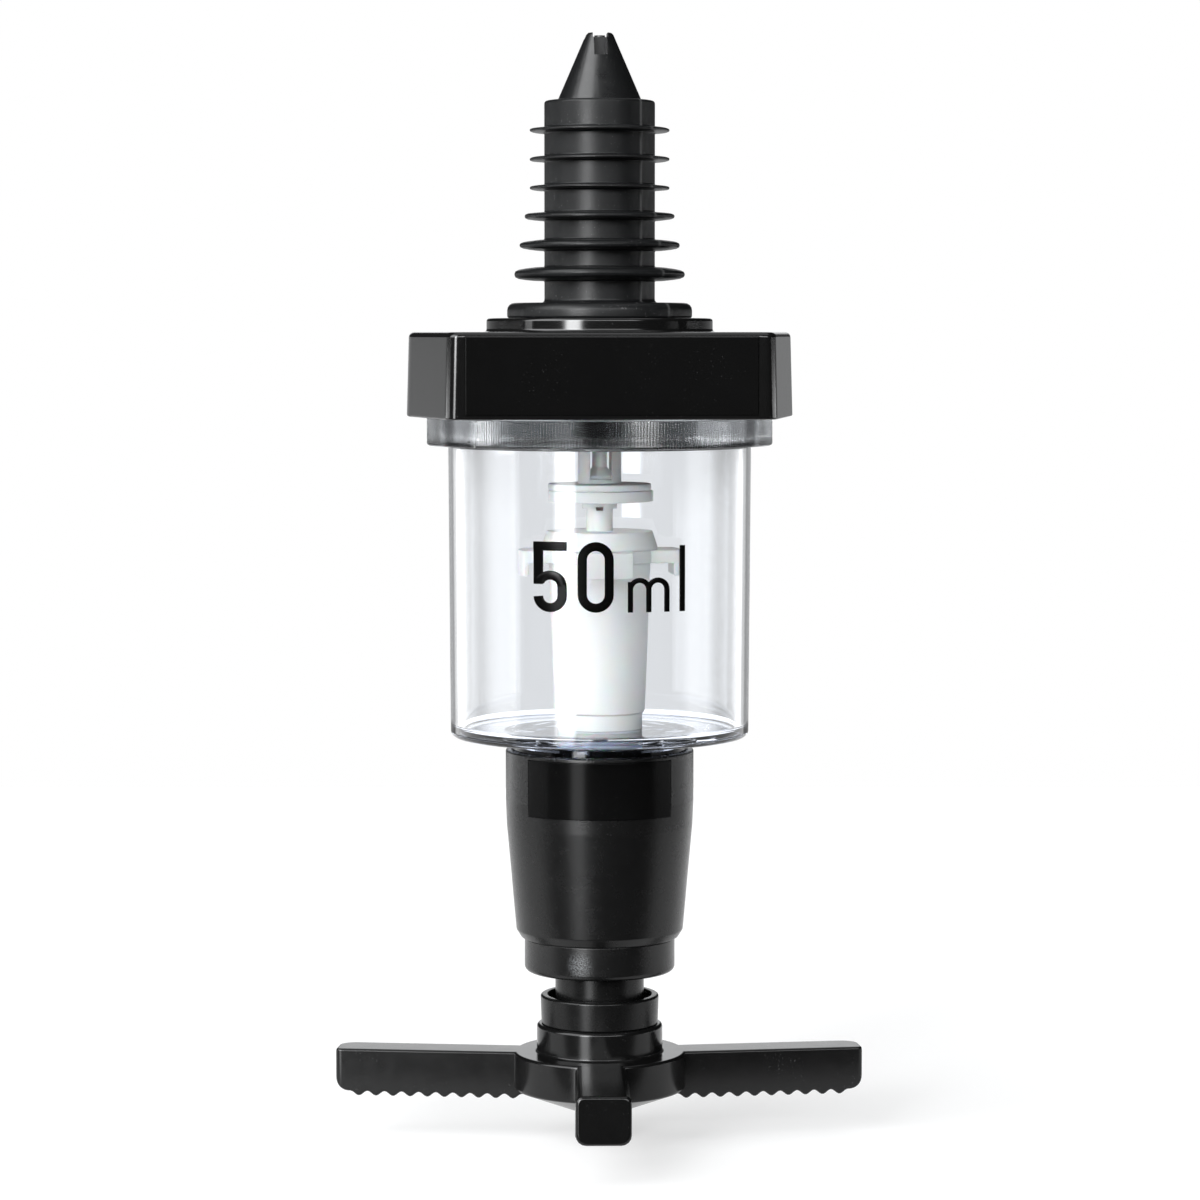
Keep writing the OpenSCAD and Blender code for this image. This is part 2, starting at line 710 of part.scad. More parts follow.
module outlet_tube() {
  flange_top = spigot_foot_z - seat_gap;
  flange_foot = flange_top - tube_flange_t;
  color([0.09, 0.09, 0.09])
    difference() {
      union() {
        rod(boss_r, flange_foot, tube_boss_z);
        rod(spigot_r, flange_foot, flange_top);
        rod(neck_r, neck_foot_z + 0.3, flange_foot + 1);
        turned([[0, neck_foot_z], [neck_r - 0.3, neck_foot_z], [neck_r, neck_foot_z + 0.3 + hair],
                [0, neck_foot_z + 0.3 + hair]]);
      }
      rod(neck_bore_r, neck_foot_z - 1, flange_foot);
      rod(outlet_way_r, flange_foot - hair, tube_boss_z + 1);
      rod(outlet_washer_r, tube_boss_z - outlet_washer_t, tube_boss_z + 1);
      ring(neck_r + 1, neck_r - seal_groove_depth, seal_groove_z, seal_groove_z + seal_groove_h);
      ring(boss_r + 1, boss_r - boss_groove_depth, boss_groove_z, boss_groove_z + boss_groove_h);
    }
}

module spigot_o_ring() {
  section_r = 0.52;
  color([0.15, 0.15, 0.15])
    translate([0, 0, boss_groove_z + boss_groove_h / 2])
      rotate_extrude()
        translate([boss_r - boss_groove_depth + section_r + seat_gap, 0]) circle(r = section_r, $fn = 32);
}

module neck_o_ring() {
  section_r = (seal_groove_depth + run_gap - 0.05) / 2;
  color([0.15, 0.15, 0.15])
    translate([0, 0, seal_groove_z + seal_groove_h / 2])
      rotate_extrude()
        translate([neck_r - seal_groove_depth + section_r + seat_gap / 2, 0]) circle(r = section_r, $fn = 32);
}

// ---------- lower body ----------

module lower_body() {
  chamfer = 0.9;
  blend_z = body_top_z - body_straight_h;
  inner_foot_r = body_foot_r - body_wall;
  shelf_z = body_foot_z + collar_spigot_h;
  color([0.09, 0.09, 0.09])
    difference() {
      turned([
        [collar_spigot_r + seat_gap, body_foot_z],
        [body_foot_r - chamfer, body_foot_z],
        [body_foot_r, body_foot_z + chamfer + 0.3],
        [body_r - 0.3, blend_z - 5],
        [body_r - 0.05, blend_z - 2],
        [body_r, blend_z],
        [body_r, body_top_z - 0.3],
        [body_r - 0.3, body_top_z],
        [socket_r, body_top_z],
        [socket_r, ledge_z],
        [socket_r - 1.3, ledge_z],
        [inner_foot_r, shelf_z + 1],
        [collar_spigot_r + seat_gap, shelf_z]
      ]);
      panel_shell(0);
    }
}

// The smooth panel lies in a shallow recess at the front of the lower body
module panel_shell(gap) {
  depth = 0.4;
  half = asin(body_panel_w / 2 / body_r);
  translate([0, 0, body_top_z - 0.75 - body_panel_h + gap])
    intersection() {
      difference() {
        cylinder(r = body_r + (gap > 0 ? 0 : 1), h = body_panel_h - 2 * gap);
        translate([0, 0, -1]) cylinder(r = body_r - depth + gap, h = body_panel_h + 2);
      }
      translate([-body_r * sin(half) + gap, -body_r - 2, -1])
        cube([2 * body_r * sin(half) - 2 * gap, body_r, body_panel_h + 2]);
    }
}

module body_panel() color([0.03, 0.03, 0.03]) panel_shell(seat_gap);

module retaining_collar() {
  r = collar_d / 2;
  edge = 0.5;
  spigot_top_z = body_foot_z + collar_spigot_h;
  step_z = body_foot_z - bush_step;
  color([0.09, 0.09, 0.09])
    turned([
      [collar_bore_r, collar_foot_z],
      [r - edge, collar_foot_z],
      for (a = [0 : 22.5 : 90]) [r - edge + edge * sin(a), collar_foot_z + edge - edge * cos(a)],
      [r, body_foot_z - seat_gap],
      [collar_spigot_r, body_foot_z - seat_gap],
      [collar_spigot_r, spigot_top_z],
      [bush_seat_r + seat_gap, spigot_top_z],
      [bush_seat_r + seat_gap, step_z],
      [collar_bore_r, step_z]
    ]);
}

module guide_bush() {
  skirt_z = body_foot_z - bush_step + 0.1;
  flange_z = body_foot_z + collar_spigot_h + seat_gap;
  color([0.85, 0.85, 0.83])
    union() {
      ring(bush_seat_r, neck_r + run_gap, skirt_z, flange_z + bush_flange_t);
      ring(collar_spigot_r - 0.6, neck_r + run_gap, flange_z, flange_z + bush_flange_t);
    }
}

// ---------- return spring ----------

function coil_angle(i) = 360 * i / spring_steps;
function coil_z(i) =
  let (
    steps = spring_turns * spring_steps,
    low = spring_low_z + spring_wire_r + face_gap,
    high = spring_high_z - spring_wire_r - face_gap,
    t = i / steps,
    closed = 1 / spring_turns,
    s = t < closed ? 0 : (t > 1 - closed ? 1 : (t - closed) / (1 - 2 * closed)),
    lead = t < closed ? t / closed : (t > 1 - closed ? 1 + (t - 1 + closed) / closed : 1)
  )
  low + lead * wire_d * 1.05 + s * (high - low - 2 * wire_d * 1.05);

module return_spring() {
  steps = spring_turns * spring_steps;
  points = [
    for (i = [0 : steps])
      for (k = [0 : spring_sides - 1])
        let (a = coil_angle(i), b = 360 * k / spring_sides, r = spring_r + spring_wire_r * cos(b))
          [r * cos(a), r * sin(a), coil_z(i) + spring_wire_r * sin(b)]
  ];
  faces = concat(
    [[for (k = [0 : spring_sides - 1]) k]],
    [[for (k = [spring_sides - 1 : -1 : 0]) steps * spring_sides + k]],
    [
      for (i = [0 : steps - 1])
        for (k = [0 : spring_sides - 1])
          let (n = (k + 1) % spring_sides, a = i * spring_sides, b = a + spring_sides)
            [a + k, b + k, b + n, a + n]
    ]
  );
  color([0.7, 0.7, 0.72]) polyhedron(points, faces, convexity = 10);
}

// ---------- plunger ----------

module valve_stem() {
  r = stem_d / 2;
  vent_z = plates_foot_z - 0.6;
  color([0.95, 0.95, 0.93])
    difference() {
      union() {
        rod(r, foot_z + face_gap / 2, plates_foot_z - hair);
        rod(collar_stem_d / 2, plates_foot_z - collar_stem_h, plates_foot_z - seat_gap);
        rod(stem_pin_d / 2, plates_foot_z - 1, head_z + dome_h - 0.4);
      }
      rod(vent_d / 2, foot_z - 1, vent_z);
      // air slot just below the inlet valve, facing front
      translate([-0.55, -4, vent_z - 0.8]) cube([1.1, 4, 0.6]);
    }
}

module stem_head() {
  socket_r = stem_pin_d / 2 + seat_gap;
  flare = 0.5;
  pin_top_z = head_z + dome_h + pin_h;
  color([0.95, 0.95, 0.93])
    difference() {
      union() {
        turned([[0, head_z + seat_gap], [head_d / 2, head_z + seat_gap], [head_d / 2, head_z + 0.45],
                [pin_d / 2 + flare, head_z + dome_h - 0.1], [pin_d / 2, head_z + dome_h + flare],
                [0, head_z + dome_h + flare]]);
        rod(pin_d / 2, head_z + dome_h, pin_top_z);
      }
      rod(socket_r, head_z - 1, head_z + dome_h - 0.38);
    }
}

module guide_cage()
  color([0.95, 0.95, 0.93])
    difference() {
      union() {
        ring(cage_d / 2, head_d / 2 + seat_gap, head_z - hair, cage_top_z);
        ring(cage_d / 2, stem_pin_d / 2 + seat_gap, plates_top_z + seat_gap, head_z);
      }
      // open at the front and the back, so that liquid passes between two prongs
      rotate([0, 0, head_turn])
        translate([-cage_window / 2, -cage_d, head_z])
          cube([cage_window, 2 * cage_d, cage_top_z - head_z + 1]);
    }

module inlet_seal_plate()
  color([0.96, 0.96, 0.94])
    ring(plate_d / 2, stem_pin_d / 2 + seat_gap, seal_plate_z + seat_gap, plates_top_z);

module inlet_back_plate()
  color([0.92, 0.92, 0.90])
    translate([0, 0, plates_foot_z])
      linear_extrude(seal_plate_z - plates_foot_z)
        difference() {
          union() {
            circle(d = plate_d);
            // moulding lug at one side
            rotate(head_turn) translate([0, -lug_w / 2]) square([plate_d / 2 + lug_reach, lug_w]);
          }
          circle(r = stem_pin_d / 2 + seat_gap);
        }

module spring_seat()
  color([0.9, 0.9, 0.88])
    ring(spring_d / 2, stem_d / 2 + seat_gap, plug_z + plug_h + seat_gap, plug_z + plug_h + spring_seat_t);

module outlet_plug() {
  r = column_bore_r - plug_clear;
  color([0.3, 0.3, 0.3])
    turned([[stem_d / 2 + seat_gap, plug_z], [r - 0.6, plug_z], [r, plug_z + 0.6], [r, plug_z + plug_h],
            [stem_d / 2 + seat_gap, plug_z + plug_h]]);
}

module swivel_foot() {
  low = foot_z + face_gap / 2;
  rim_r = hub_bore_r - run_gap;
  hub_r = stem_d / 2 + 1.1;
  color([0.9, 0.9, 0.88]) {
    ring(rim_r, rim_r - foot_rim, low, low + foot_t);
    ring(hub_r, stem_d / 2 + seat_gap, low, low + foot_t);
    for (turn = [90, 210, 330])
      rotate([0, 0, turn])
        translate([hub_r - 0.2, -0.7, low]) cube([rim_r - foot_rim - hub_r + 0.4, 1.4, foot_t]);
  }
}

// ---------- crossbar ----------

// Height of the underside of a side arm at distance u from the axis
function ridge_low(u) =
  let (phase = (u - ridge_first) / ridge_pitch)
  phase < -0.5 || phase > ridge_count - 0.5 ? ridge_depth : ridge_depth * (0.5 - 0.5 * cos(360 * phase));

module side_arm_profile() {
  root = 6;
  polygon([
    [root, arm_h],
    [arm_tip, arm_h],
    for (a = [0 : 15 : 90])
      [arm_tip - tip_corner_r + tip_corner_r * cos(a), ridge_depth + tip_corner_r - tip_corner_r * sin(a)],
    for (i = [ridge_count * ridge_steps : -1 : 0])
      let (u = ridge_first + (i / ridge_steps - 0.5) * ridge_pitch)
        if (u < arm_tip - tip_corner_r - 0.05) [u, ridge_low(u)],
    [root, ridge_depth]
  ]);
}

module side_arm() {
  back_r = 2.8;
  front_r = 0.7;
  intersection() {
    translate([0, arm_t, arm_foot_z]) rotate([90, 0, 0]) linear_extrude(2 * arm_t) side_arm_profile();
    translate([0, 0, arm_foot_z - 1])
      linear_extrude(arm_h + 2) {
        translate([0, -arm_t / 2]) square([arm_tip - back_r, arm_t]);
        translate([0, -arm_t / 2 + front_r]) square([arm_tip, arm_t - back_r - front_r]);
        translate([arm_tip - back_r - hair, -arm_t / 2]) square([back_r - front_r + hair, arm_t - back_r]);
        translate([arm_tip - back_r, arm_t / 2 - back_r]) circle(r = back_r);
        translate([arm_tip - front_r, -arm_t / 2 + front_r]) circle(r = front_r, $fn = 24);
      }
  }
}

module front_arm()
  intersection() {
    translate([0, 0, arm_foot_z]) rotate([90, 0, 0]) linear_extrude(front_reach)
      bar_section(front_arm_w, arm_h, 1.1, 1.6);
    translate([0, 0, arm_foot_z - 1])
      linear_extrude(arm_h + 2)
        polygon([[-front_arm_root_w / 2, -5], [-front_arm_w / 2, -front_reach],
                 [front_arm_w / 2, -front_reach], [front_arm_root_w / 2, -5]]);
  }

module crossbar() {
  disc_r = disc_d / 2;
  hub_r = cup_r + hub_shoulder;
  spout_r = spout_d / 2;
  bore_r = spout_bore_d / 2;
  edge = 0.6;
  color([0.04, 0.04, 0.04])
    difference() {
      union() {
        rotate([0, 0, crossbar_turn]) {
          rotate([0, 0, arm_sweep]) side_arm();
          mirror([1, 0, 0]) rotate([0, 0, arm_sweep]) side_arm();
          front_arm();
        }
        turned([
          [0, spout_z], [spout_r - 0.3, spout_z], [spout_r, spout_z + 0.3],
          [spout_r, funnel_foot_z], [disc_r - 0.4, disc_foot_z], [disc_r, disc_foot_z + 0.5],
          [disc_r, disc_top_z - 0.4], [disc_r - 0.4, disc_top_z],
          [hub_r, disc_top_z], [hub_r, hub_top_z - edge], [hub_r - edge, hub_top_z],
          [0, hub_top_z]
        ]);
      }
      rod(hub_wall_r + seat_gap, hub_top_z - cup_seat_depth, hub_top_z + 1);
      rod(hub_bore_r, foot_z, hub_top_z + 1);
      rod(hub_bore_r + clip_depth, clip_z, clip_z + clip_t + 2 * seat_gap);
      turned([[0, foot_z + hair], [hub_bore_r - foot_rim - 0.15, foot_z + hair],
              [bore_r, funnel_foot_z + 0.3], [bore_r, spout_z - 1], [0, spout_z - 1]]);
    }
}

module crossbar_cup() {
  inner_r = cup_r - cup_wall;
  low = hub_top_z - cup_seat_depth + seat_gap;
  color([0.09, 0.09, 0.09])
    turned([
      [hub_bore_r, low], [hub_wall_r, low], [hub_wall_r, hub_top_z + seat_gap],
      [cup_r - 0.15, hub_top_z + seat_gap], [cup_r, cup_top_z - 0.4], [cup_r - 0.4, cup_top_z],
      [inner_r + 0.3, cup_top_z], [inner_r, cup_top_z - 0.3], [inner_r, hub_top_z + 2.4],
      [hub_bore_r, hub_top_z + 2.0]
    ]);
}

module foot_clip()
  color([0.6, 0.6, 0.62])
    difference() {
      ring(hub_bore_r + clip_depth - seat_gap, hub_bore_r - 0.8, clip_z + seat_gap, clip_z + clip_t);
      // the gap of the spring clip
      translate([-1.2, 0, clip_z - 1]) cube([2.4, hub_bore_r + 2, clip_t + 2]);
    }

cork_stopper();
inlet_nozzle();
breather_tube();
cap();
front_panel();
cap_gasket();
inlet_seat_washer();
measuring_chamber();
capacity_mark();
spring_column();
wing_plate();
bell_cap();
outlet_seat_washer();
outlet_tube();
spigot_o_ring();
lower_body();
body_panel();
retaining_collar();
guide_bush();
neck_o_ring();
return_spring();
valve_stem();
stem_head();
guide_cage();
inlet_seal_plate();
inlet_back_plate();
spring_seat();
outlet_plug();
swivel_foot();
crossbar();
crossbar_cup();
foot_clip();
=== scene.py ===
# %% [markdown]
# # A liquor optic dispenser
# This is a measuring tap that hangs under an upturned bottle. Its finned stopper sits in the
# bottle's neck, the clear chamber below holds one dose, and a glass pushed up under the
# crossbar lifts a sprung plunger that lets the dose run out.
# The CAD frame already holds every solid at its place. This notebook gives the pieces that show
# rounded edges, fine relief and finishes, and leaves the hidden ones as the CAD made them.

# %% Load the frame
import math

import bmesh
import bpy
from mathutils import Matrix, Vector


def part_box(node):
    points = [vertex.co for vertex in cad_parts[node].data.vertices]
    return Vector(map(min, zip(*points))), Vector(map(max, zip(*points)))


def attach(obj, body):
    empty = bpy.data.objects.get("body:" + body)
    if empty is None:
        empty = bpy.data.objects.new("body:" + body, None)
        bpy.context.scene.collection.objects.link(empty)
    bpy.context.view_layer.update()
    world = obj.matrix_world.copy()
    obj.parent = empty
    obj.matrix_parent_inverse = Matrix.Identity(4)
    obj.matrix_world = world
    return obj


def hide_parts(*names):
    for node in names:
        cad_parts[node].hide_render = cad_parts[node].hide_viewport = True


MM = 0.001
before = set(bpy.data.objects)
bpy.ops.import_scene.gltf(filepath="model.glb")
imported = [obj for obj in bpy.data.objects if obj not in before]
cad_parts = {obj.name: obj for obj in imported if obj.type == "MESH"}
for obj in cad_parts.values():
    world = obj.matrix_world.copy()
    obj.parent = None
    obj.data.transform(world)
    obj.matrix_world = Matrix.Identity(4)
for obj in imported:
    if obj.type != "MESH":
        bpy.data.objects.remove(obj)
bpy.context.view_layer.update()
scene = bpy.context.scene

# %% [markdown]
# Levels and radii come from the frame, so that a dressed piece always meets its neighbours.
# They are read in millimetres, because the parts of an optic are a few millimetres thick.


# %% Read sizes from the frame
def levels(node):
    """Lowest and highest level of a CAD node, in millimetres."""
    low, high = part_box(node)
    return low.z / MM, high.z / MM


def radius(node):
    """Half the width of a round CAD node, in millimetres."""
    low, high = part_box(node)
    return (high.x - low.x) / 2 / MM


HEAD_TURN = math.radians(4)  # the cap, chamber and stopper stand turned on the lower body
SEAT = 0.02  # gap between pieces that are seated together
RIM_H = 6.0  # the rim of the chamber stands this far up inside the cap
LIP_H = 4.6  # height of the ribbed lip of the chamber, just under the cap
RIBS = 360  # fine ribs round that lip
print("cap levels:", levels("cap"), "chamber radius at its lip:", radius("measuring_chamber"))

# %% [markdown]
# ## Tools for turned pieces
# Most of an optic comes out of round moulds. An outline in the plane of radius and height, spun
# once round the axis, gives such a piece in one step. A moulded corner is never sharp, so each
# corner of the outline carries its own radius, and the helper puts an arc there.
# Spinning was chosen over a revolved curve or a Screw modifier, because bmesh gives a plain
# mesh at once, with its seam merged.


# %% Round the corners of an outline
def rounded(outline, closed=True, segments=5):
    """Points (a, b, corner radius) become points (a, b) with an arc at each corner."""
    points = []
    count = len(outline)
    for i, (a, b, r) in enumerate(outline):
        corner = Vector((a, b))
        inner = closed or 0 < i < count - 1
        if r <= 0 or not inner:
            points.append((a, b))
            continue
        back = Vector(outline[i - 1][:2]) - corner
        ahead = Vector(outline[(i + 1) % count][:2]) - corner
        half = back.angle(ahead) / 2
        run = min(r / math.tan(half), 0.49 * back.length, 0.49 * ahead.length)
        r = run * math.tan(half)
        middle = (back.normalized() + ahead.normalized()).normalized()
        centre = corner + middle * r / math.sin(half)
        start = corner + back.normalized() * run - centre
        turn = (corner + ahead.normalized() * run - centre).angle_signed(start)
        for k in range(segments + 1):
            spoke = start.copy()
            spoke.rotate(Matrix.Rotation(turn * k / segments, 2))
            points.append(tuple(centre + spoke))
    return points


# %% Spin an outline into a closed piece
def turned(outline, steps=128, sweep=2 * math.pi, start=0.0, segments=5):
    """A turned solid from a closed outline of (radius, level, corner radius), in millimetres."""
    bm = bmesh.new()
    verts = [bm.verts.new((r * MM, 0, z * MM)) for r, z in rounded(outline, True, segments)]
    edges = [bm.edges.new(pair) for pair in zip(verts, verts[1:] + verts[:1])]
    bmesh.ops.rotate(bm, verts=verts, cent=(0, 0, 0), matrix=Matrix.Rotation(start, 3, "Z"))
    full = sweep >= 2 * math.pi
    bmesh.ops.spin(bm, geom=verts + edges, cent=(0, 0, 0), axis=(0, 0, 1), dvec=(0, 0, 0),
                   angle=sweep, steps=steps, use_merge=full, use_normal_flip=False,
                   use_duplicate=False)
    bmesh.ops.remove_doubles(bm, verts=bm.verts, dist=1e-7)
    if not full:
        bmesh.ops.holes_fill(bm, edges=[e for e in bm.edges if e.is_boundary], sides=0)
    bmesh.ops.recalc_face_normals(bm, faces=bm.faces)
    return bm


# %% [markdown]
# ## Tools for other shapes
# The cap and the arms aren't round. They are lofts: a grid whose rows are laid on a series of
# cross sections. Two shapes are joined or cut with the exact Boolean modifier, whose result is
# taken straight back as a mesh. Small inner pieces keep the CAD shape: a merged copy gets
# its sharp edges bevelled, which is what catches the light on a moulded part.


# %% Loft, join, cut, bevel and turn
def loft(sections, ring=False):
    """A skin over sections of as many points each; a ring's last section meets its first."""
    rows = sections + sections[:1] if ring else sections
    across, around = len(rows) - 1, len(rows[0])
    bm = bmesh.new()
    bmesh.ops.create_grid(bm, x_segments=across, y_segments=around, size=0.5)
    for vert in bm.verts:
        row = rows[round((vert.co.x + 0.5) * across)]
        vert.co = Vector(row[round((vert.co.y + 0.5) * around) % around]) * MM
    bmesh.ops.remove_doubles(bm, verts=bm.verts, dist=1e-7)
    bmesh.ops.holes_fill(bm, edges=[e for e in bm.edges if e.is_boundary], sides=0)
    bmesh.ops.recalc_face_normals(bm, faces=bm.faces)
    return bm


def combined(bm, other, operation):
    """The first shape joined with or less the second, and both are used up."""
    made = []
    for shape in (bm, other):
        mesh = bpy.data.meshes.new("shape")
        shape.to_mesh(mesh)
        shape.free()
        made.append(bpy.data.objects.new("shape", mesh))
        scene.collection.objects.link(made[-1])
    step = made[0].modifiers.new("step", "BOOLEAN")
    step.operation = operation
    step.solver = "EXACT"
    step.object = made[1]
    result = bmesh.new()
    result.from_object(made[0], bpy.context.evaluated_depsgraph_get())
    for obj in made:
        mesh = obj.data
        bpy.data.objects.remove(obj)
        bpy.data.meshes.remove(mesh)
    return result


def bevelled(bm, width, angle=35, segments=2):
    """Rounds every edge that is sharper than the angle, in degrees, by a width in millimetres."""
    sharp = [e for e in bm.edges if len(e.link_faces) == 2
             and e.calc_face_angle(0) > math.radians(angle)]
    bmesh.ops.bevel(bm, geom=sharp, offset=width * MM, offset_type="OFFSET", segments=segments,
                    profile=0.5, affect="EDGES", clamp_overlap=True, material=-1)
    return bm


def swung(bm, angle):
    """The shape itself, turned round the axis."""
    bmesh.ops.rotate(bm, verts=bm.verts, matrix=Matrix.Rotation(angle, 3, "Z"))
    return bm


def plate(width, height, front, back, middle):
    """A flat plate that faces the front, in millimetres."""
    bm = bmesh.new()
    bmesh.ops.create_cube(bm, size=MM)
    bmesh.ops.scale(bm, verts=bm.verts, vec=(width, front - back, height))
    bmesh.ops.translate(bm, verts=bm.verts, vec=Vector((0, -(front + back) / 2, middle)) * MM)
    return bm


def from_cad(node, width):
    """A merged copy of a CAD node's mesh with bevelled edges."""
    bm = bmesh.new()
    bm.from_mesh(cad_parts[node].data)
    bmesh.ops.remove_doubles(bm, verts=bm.verts, dist=2e-6)
    bmesh.ops.dissolve_limit(bm, angle_limit=math.radians(1), verts=bm.verts, edges=bm.edges)
    return bevelled(bm, width)


# %% [markdown]
# A finished mesh becomes an object here. It is smooth but for its sharp edges, and its normals
# are weighted by area, so that flat walls between two rounded edges reflect as flat walls do.
# It takes its finish, rides on the body that it moves with and stands for its CAD node.


# %% Turn a mesh into a piece
pieces = []


def piece(name, bm, material, body, node, sharp=32):
    """The visible object for a CAD node; edges over the angle stay sharp, in degrees."""
    mesh = bpy.data.meshes.new(name)
    bm.to_mesh(mesh)
    bm.free()
    mesh.polygons.foreach_set("use_smooth", [True] * len(mesh.polygons))
    mesh.set_sharp_from_angle(angle=math.radians(sharp))
    mesh.materials.append(material)
    obj = bpy.data.objects.new(name, mesh)
    scene.collection.objects.link(obj)
    obj.modifiers.new("flat walls", "WEIGHTED_NORMAL").keep_sharp = True
    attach(obj, body)
    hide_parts(node)
    pieces.append(obj)
    print(f"{name}: {len(mesh.polygons)} faces")
    return obj


# %% [markdown]
# ## Tools for finishes
# Shader maths reads best as plain expressions. A Wire wraps one socket: adding or multiplying
# wires adds Math nodes, and its node method adds any other node. Everything hangs on Object
# coordinates, which stay with the piece when it moves.


# %% Wrap a socket
class Wire:
    """One socket in a material's nodes."""

    def __init__(self, tree, socket=None):
        self.tree = tree
        self.socket = socket

    def node(self, kind, output=0, inputs=None, stops=None, **settings):
        """Adds a node: its settings first, then a ramp's stops, then its sockets."""
        made = self.tree.nodes.new("ShaderNode" + kind)
        for name, value in settings.items():
            setattr(made, name, value)
        for k, (place, colour) in enumerate(stops or []):
            stop = made.color_ramp.elements[k] if k < 2 else made.color_ramp.elements.new(place)
            stop.position = place
            stop.color = colour
        for name, value in (inputs or {}).items():
            if isinstance(value, Wire):
                self.tree.links.new(value.socket, made.inputs[name])
            else:
                made.inputs[name].default_value = value
        return Wire(self.tree, made.outputs[output])

    def math(self, operation, first, second=0.0):
        return self.node("Math", operation=operation, inputs={0: first, 1: second})

    def __add__(self, other):
        return self.math("ADD", self, other)

    def __radd__(self, other):
        return self.math("ADD", other, self)

    def __sub__(self, other):
        return self.math("SUBTRACT", self, other)

    def __rsub__(self, other):
        return self.math("SUBTRACT", other, self)

    def __mul__(self, other):
        return self.math("MULTIPLY", self, other)

    def __rmul__(self, other):
        return self.math("MULTIPLY", other, self)

    def step(self, start, end):
        """Rises smoothly from 0 to 1 while this value goes from start to end."""
        return self.node("MapRange", interpolation_type="SMOOTHSTEP",
                         inputs={"Value": self, "From Min": start, "From Max": end})

    def mixed(self, first, second):
        """The first colour where this mask is 0, the second where it is 1."""
        return self.node("Mix", output=2, data_type="RGBA", inputs={0: self, 6: first, 7: second})

    def parts(self):
        split = self.node("SeparateXYZ", inputs={0: self}).socket.node
        return [Wire(self.tree, split.outputs[k]) for k in range(3)]

    def noise(self, size, detail=3.0, harshness=0.55):
        """Noise on this place, with blots of about that size in millimetres."""
        return self.node("TexNoise", inputs={"Vector": self, "Scale": 1 / (size * MM),
                                             "Detail": detail, "Roughness": harshness})


# %% Start a finish
def grey(level, blue=0.0):
    """A grey with a touch of blue."""
    return (level, level * (1 + blue / 2), level * (1 + blue), 1)


def finish(name, constants):
    """A Principled material with its constant sockets set, and the place on the piece."""
    material = bpy.data.materials.new(name)
    material.use_nodes = True
    shader = material.node_tree.nodes["Principled BSDF"]
    for socket, value in constants.items():
        shader.inputs[socket].default_value = value
    start = Wire(material.node_tree)
    spot = start.node("Mapping", inputs={"Vector": start.node("TexCoord", output="Object")})
    return material, shader, spot


def feed(shader, socket, wire):
    """Links a wire to one of a shader's sockets."""
    wire.tree.links.new(wire.socket, shader.inputs[socket])


def relief(spot, height, depth):
    """A bump of that depth in millimetres."""
    return spot.node("Bump", inputs={"Height": height, "Distance": depth * MM})


# %% [markdown]
# ## The family of moulded finishes
# Every opaque piece came out of a steel mould, so one recipe fits all: a tone that drifts over
# a few millimetres, a gloss that is patchy where fingers and cloths have rubbed, a fine grain
# from the mould's wall, and a little dust. The numbers tell rubber from gloss plastic.


# %% Moulded finish
def moulded(name, tone, drift, gloss, haze, grain, depth, dust=0.0, constants=None):
    """Tone and roughness drift by the given amounts; the grain has a size and a depth."""
    material, shader, spot = finish(name, constants or {})
    cloud = spot.noise(5.0, 4)
    colour = cloud.mixed(tone, tuple(c * (1 + drift) for c in tone[:3]) + (1,))
    if dust:
        specks = spot.noise(0.35, 2).step(0.66, 0.74) * spot.noise(9.0, 2).step(0.4, 0.7)
        colour = (specks * dust).mixed(colour, grey(0.3))
    feed(shader, "Base Color", colour)
    smears = spot.noise(2.2, 5, 0.65)
    feed(shader, "Roughness", gloss + haze * smears)
    feed(shader, "Normal", relief(spot, spot.noise(grain, 3), depth))
    return material


DEEP = {"Specular IOR Level": 0.30}
SOFT = {"Specular IOR Level": 0.22}
MATT = {"Specular IOR Level": 0.07}
# name, tone, its drift, roughness, its haze, grain size, grain depth, dust, other sockets
STOPPER = moulded("stopper_rubber", grey(0.004, 0.1), 0.9, 0.26, 0.22, 0.22, 0.012, 0.3, SOFT)
NOZZLE = moulded("nozzle_satin", grey(0.004, 0.1), 0.5, 0.20, 0.20, 0.4, 0.006, 0.25)
NYLON = moulded("black_nylon", grey(0.0025), 0.5, 0.20, 0.14, 2.5, 0.004, 0.08, SOFT)
TUBE = moulded("air_tube", grey(0.035), 0.4, 0.25, 0.2, 0.5, 0.004)
CAP_GLOSS = moulded("cap_black", grey(0.003), 0.5, 0.09, 0.08, 6.0, 0.005, 0.08)
PANEL_GLOSS = moulded("panel_black", grey(0.0025), 0.4, 0.04, 0.08, 9.0, 0.004, 0.05, DEEP)
LABEL_SATIN = moulded("label_black", grey(0.002), 0.4, 0.14, 0.08, 9.0, 0.003, 0.04, MATT)
SATIN = (grey(0.003), 0.5, 0.18, 0.16, 0.16, 0.018, 0.08, DEEP)
BODY_SATIN = moulded("body_satin", *SATIN)
COLLAR_SATIN = moulded("collar_satin", *SATIN)
BAR_GLOSS = moulded("crossbar_black", grey(0.0025), 0.6, 0.12, 0.12, 4.0, 0.008, 0.10, DEEP)
MARK_INK = moulded("mark_black", grey(0.001), 0.5, 0.17, 0.06, 0.3, 0.006, 0.0, MATT)
SEAL = moulded("seal_rubber", grey(0.012), 0.5, 0.50, 0.20, 0.25, 0.01)
MILK = {"Subsurface Weight": 0.2, "Subsurface Scale": 0.002}
WHITE = moulded("white_plastic", (0.90, 0.90, 0.885, 1), 0.05, 0.34, 0.16, 0.7, 0.006, 0.0, MILK)
SOFT_WHITE = moulded("white_seal", (0.91, 0.91, 0.90, 1), 0.04, 0.5, 0.15, 0.4, 0.01, 0.0, MILK)
print("moulded finishes:", len(bpy.data.materials))

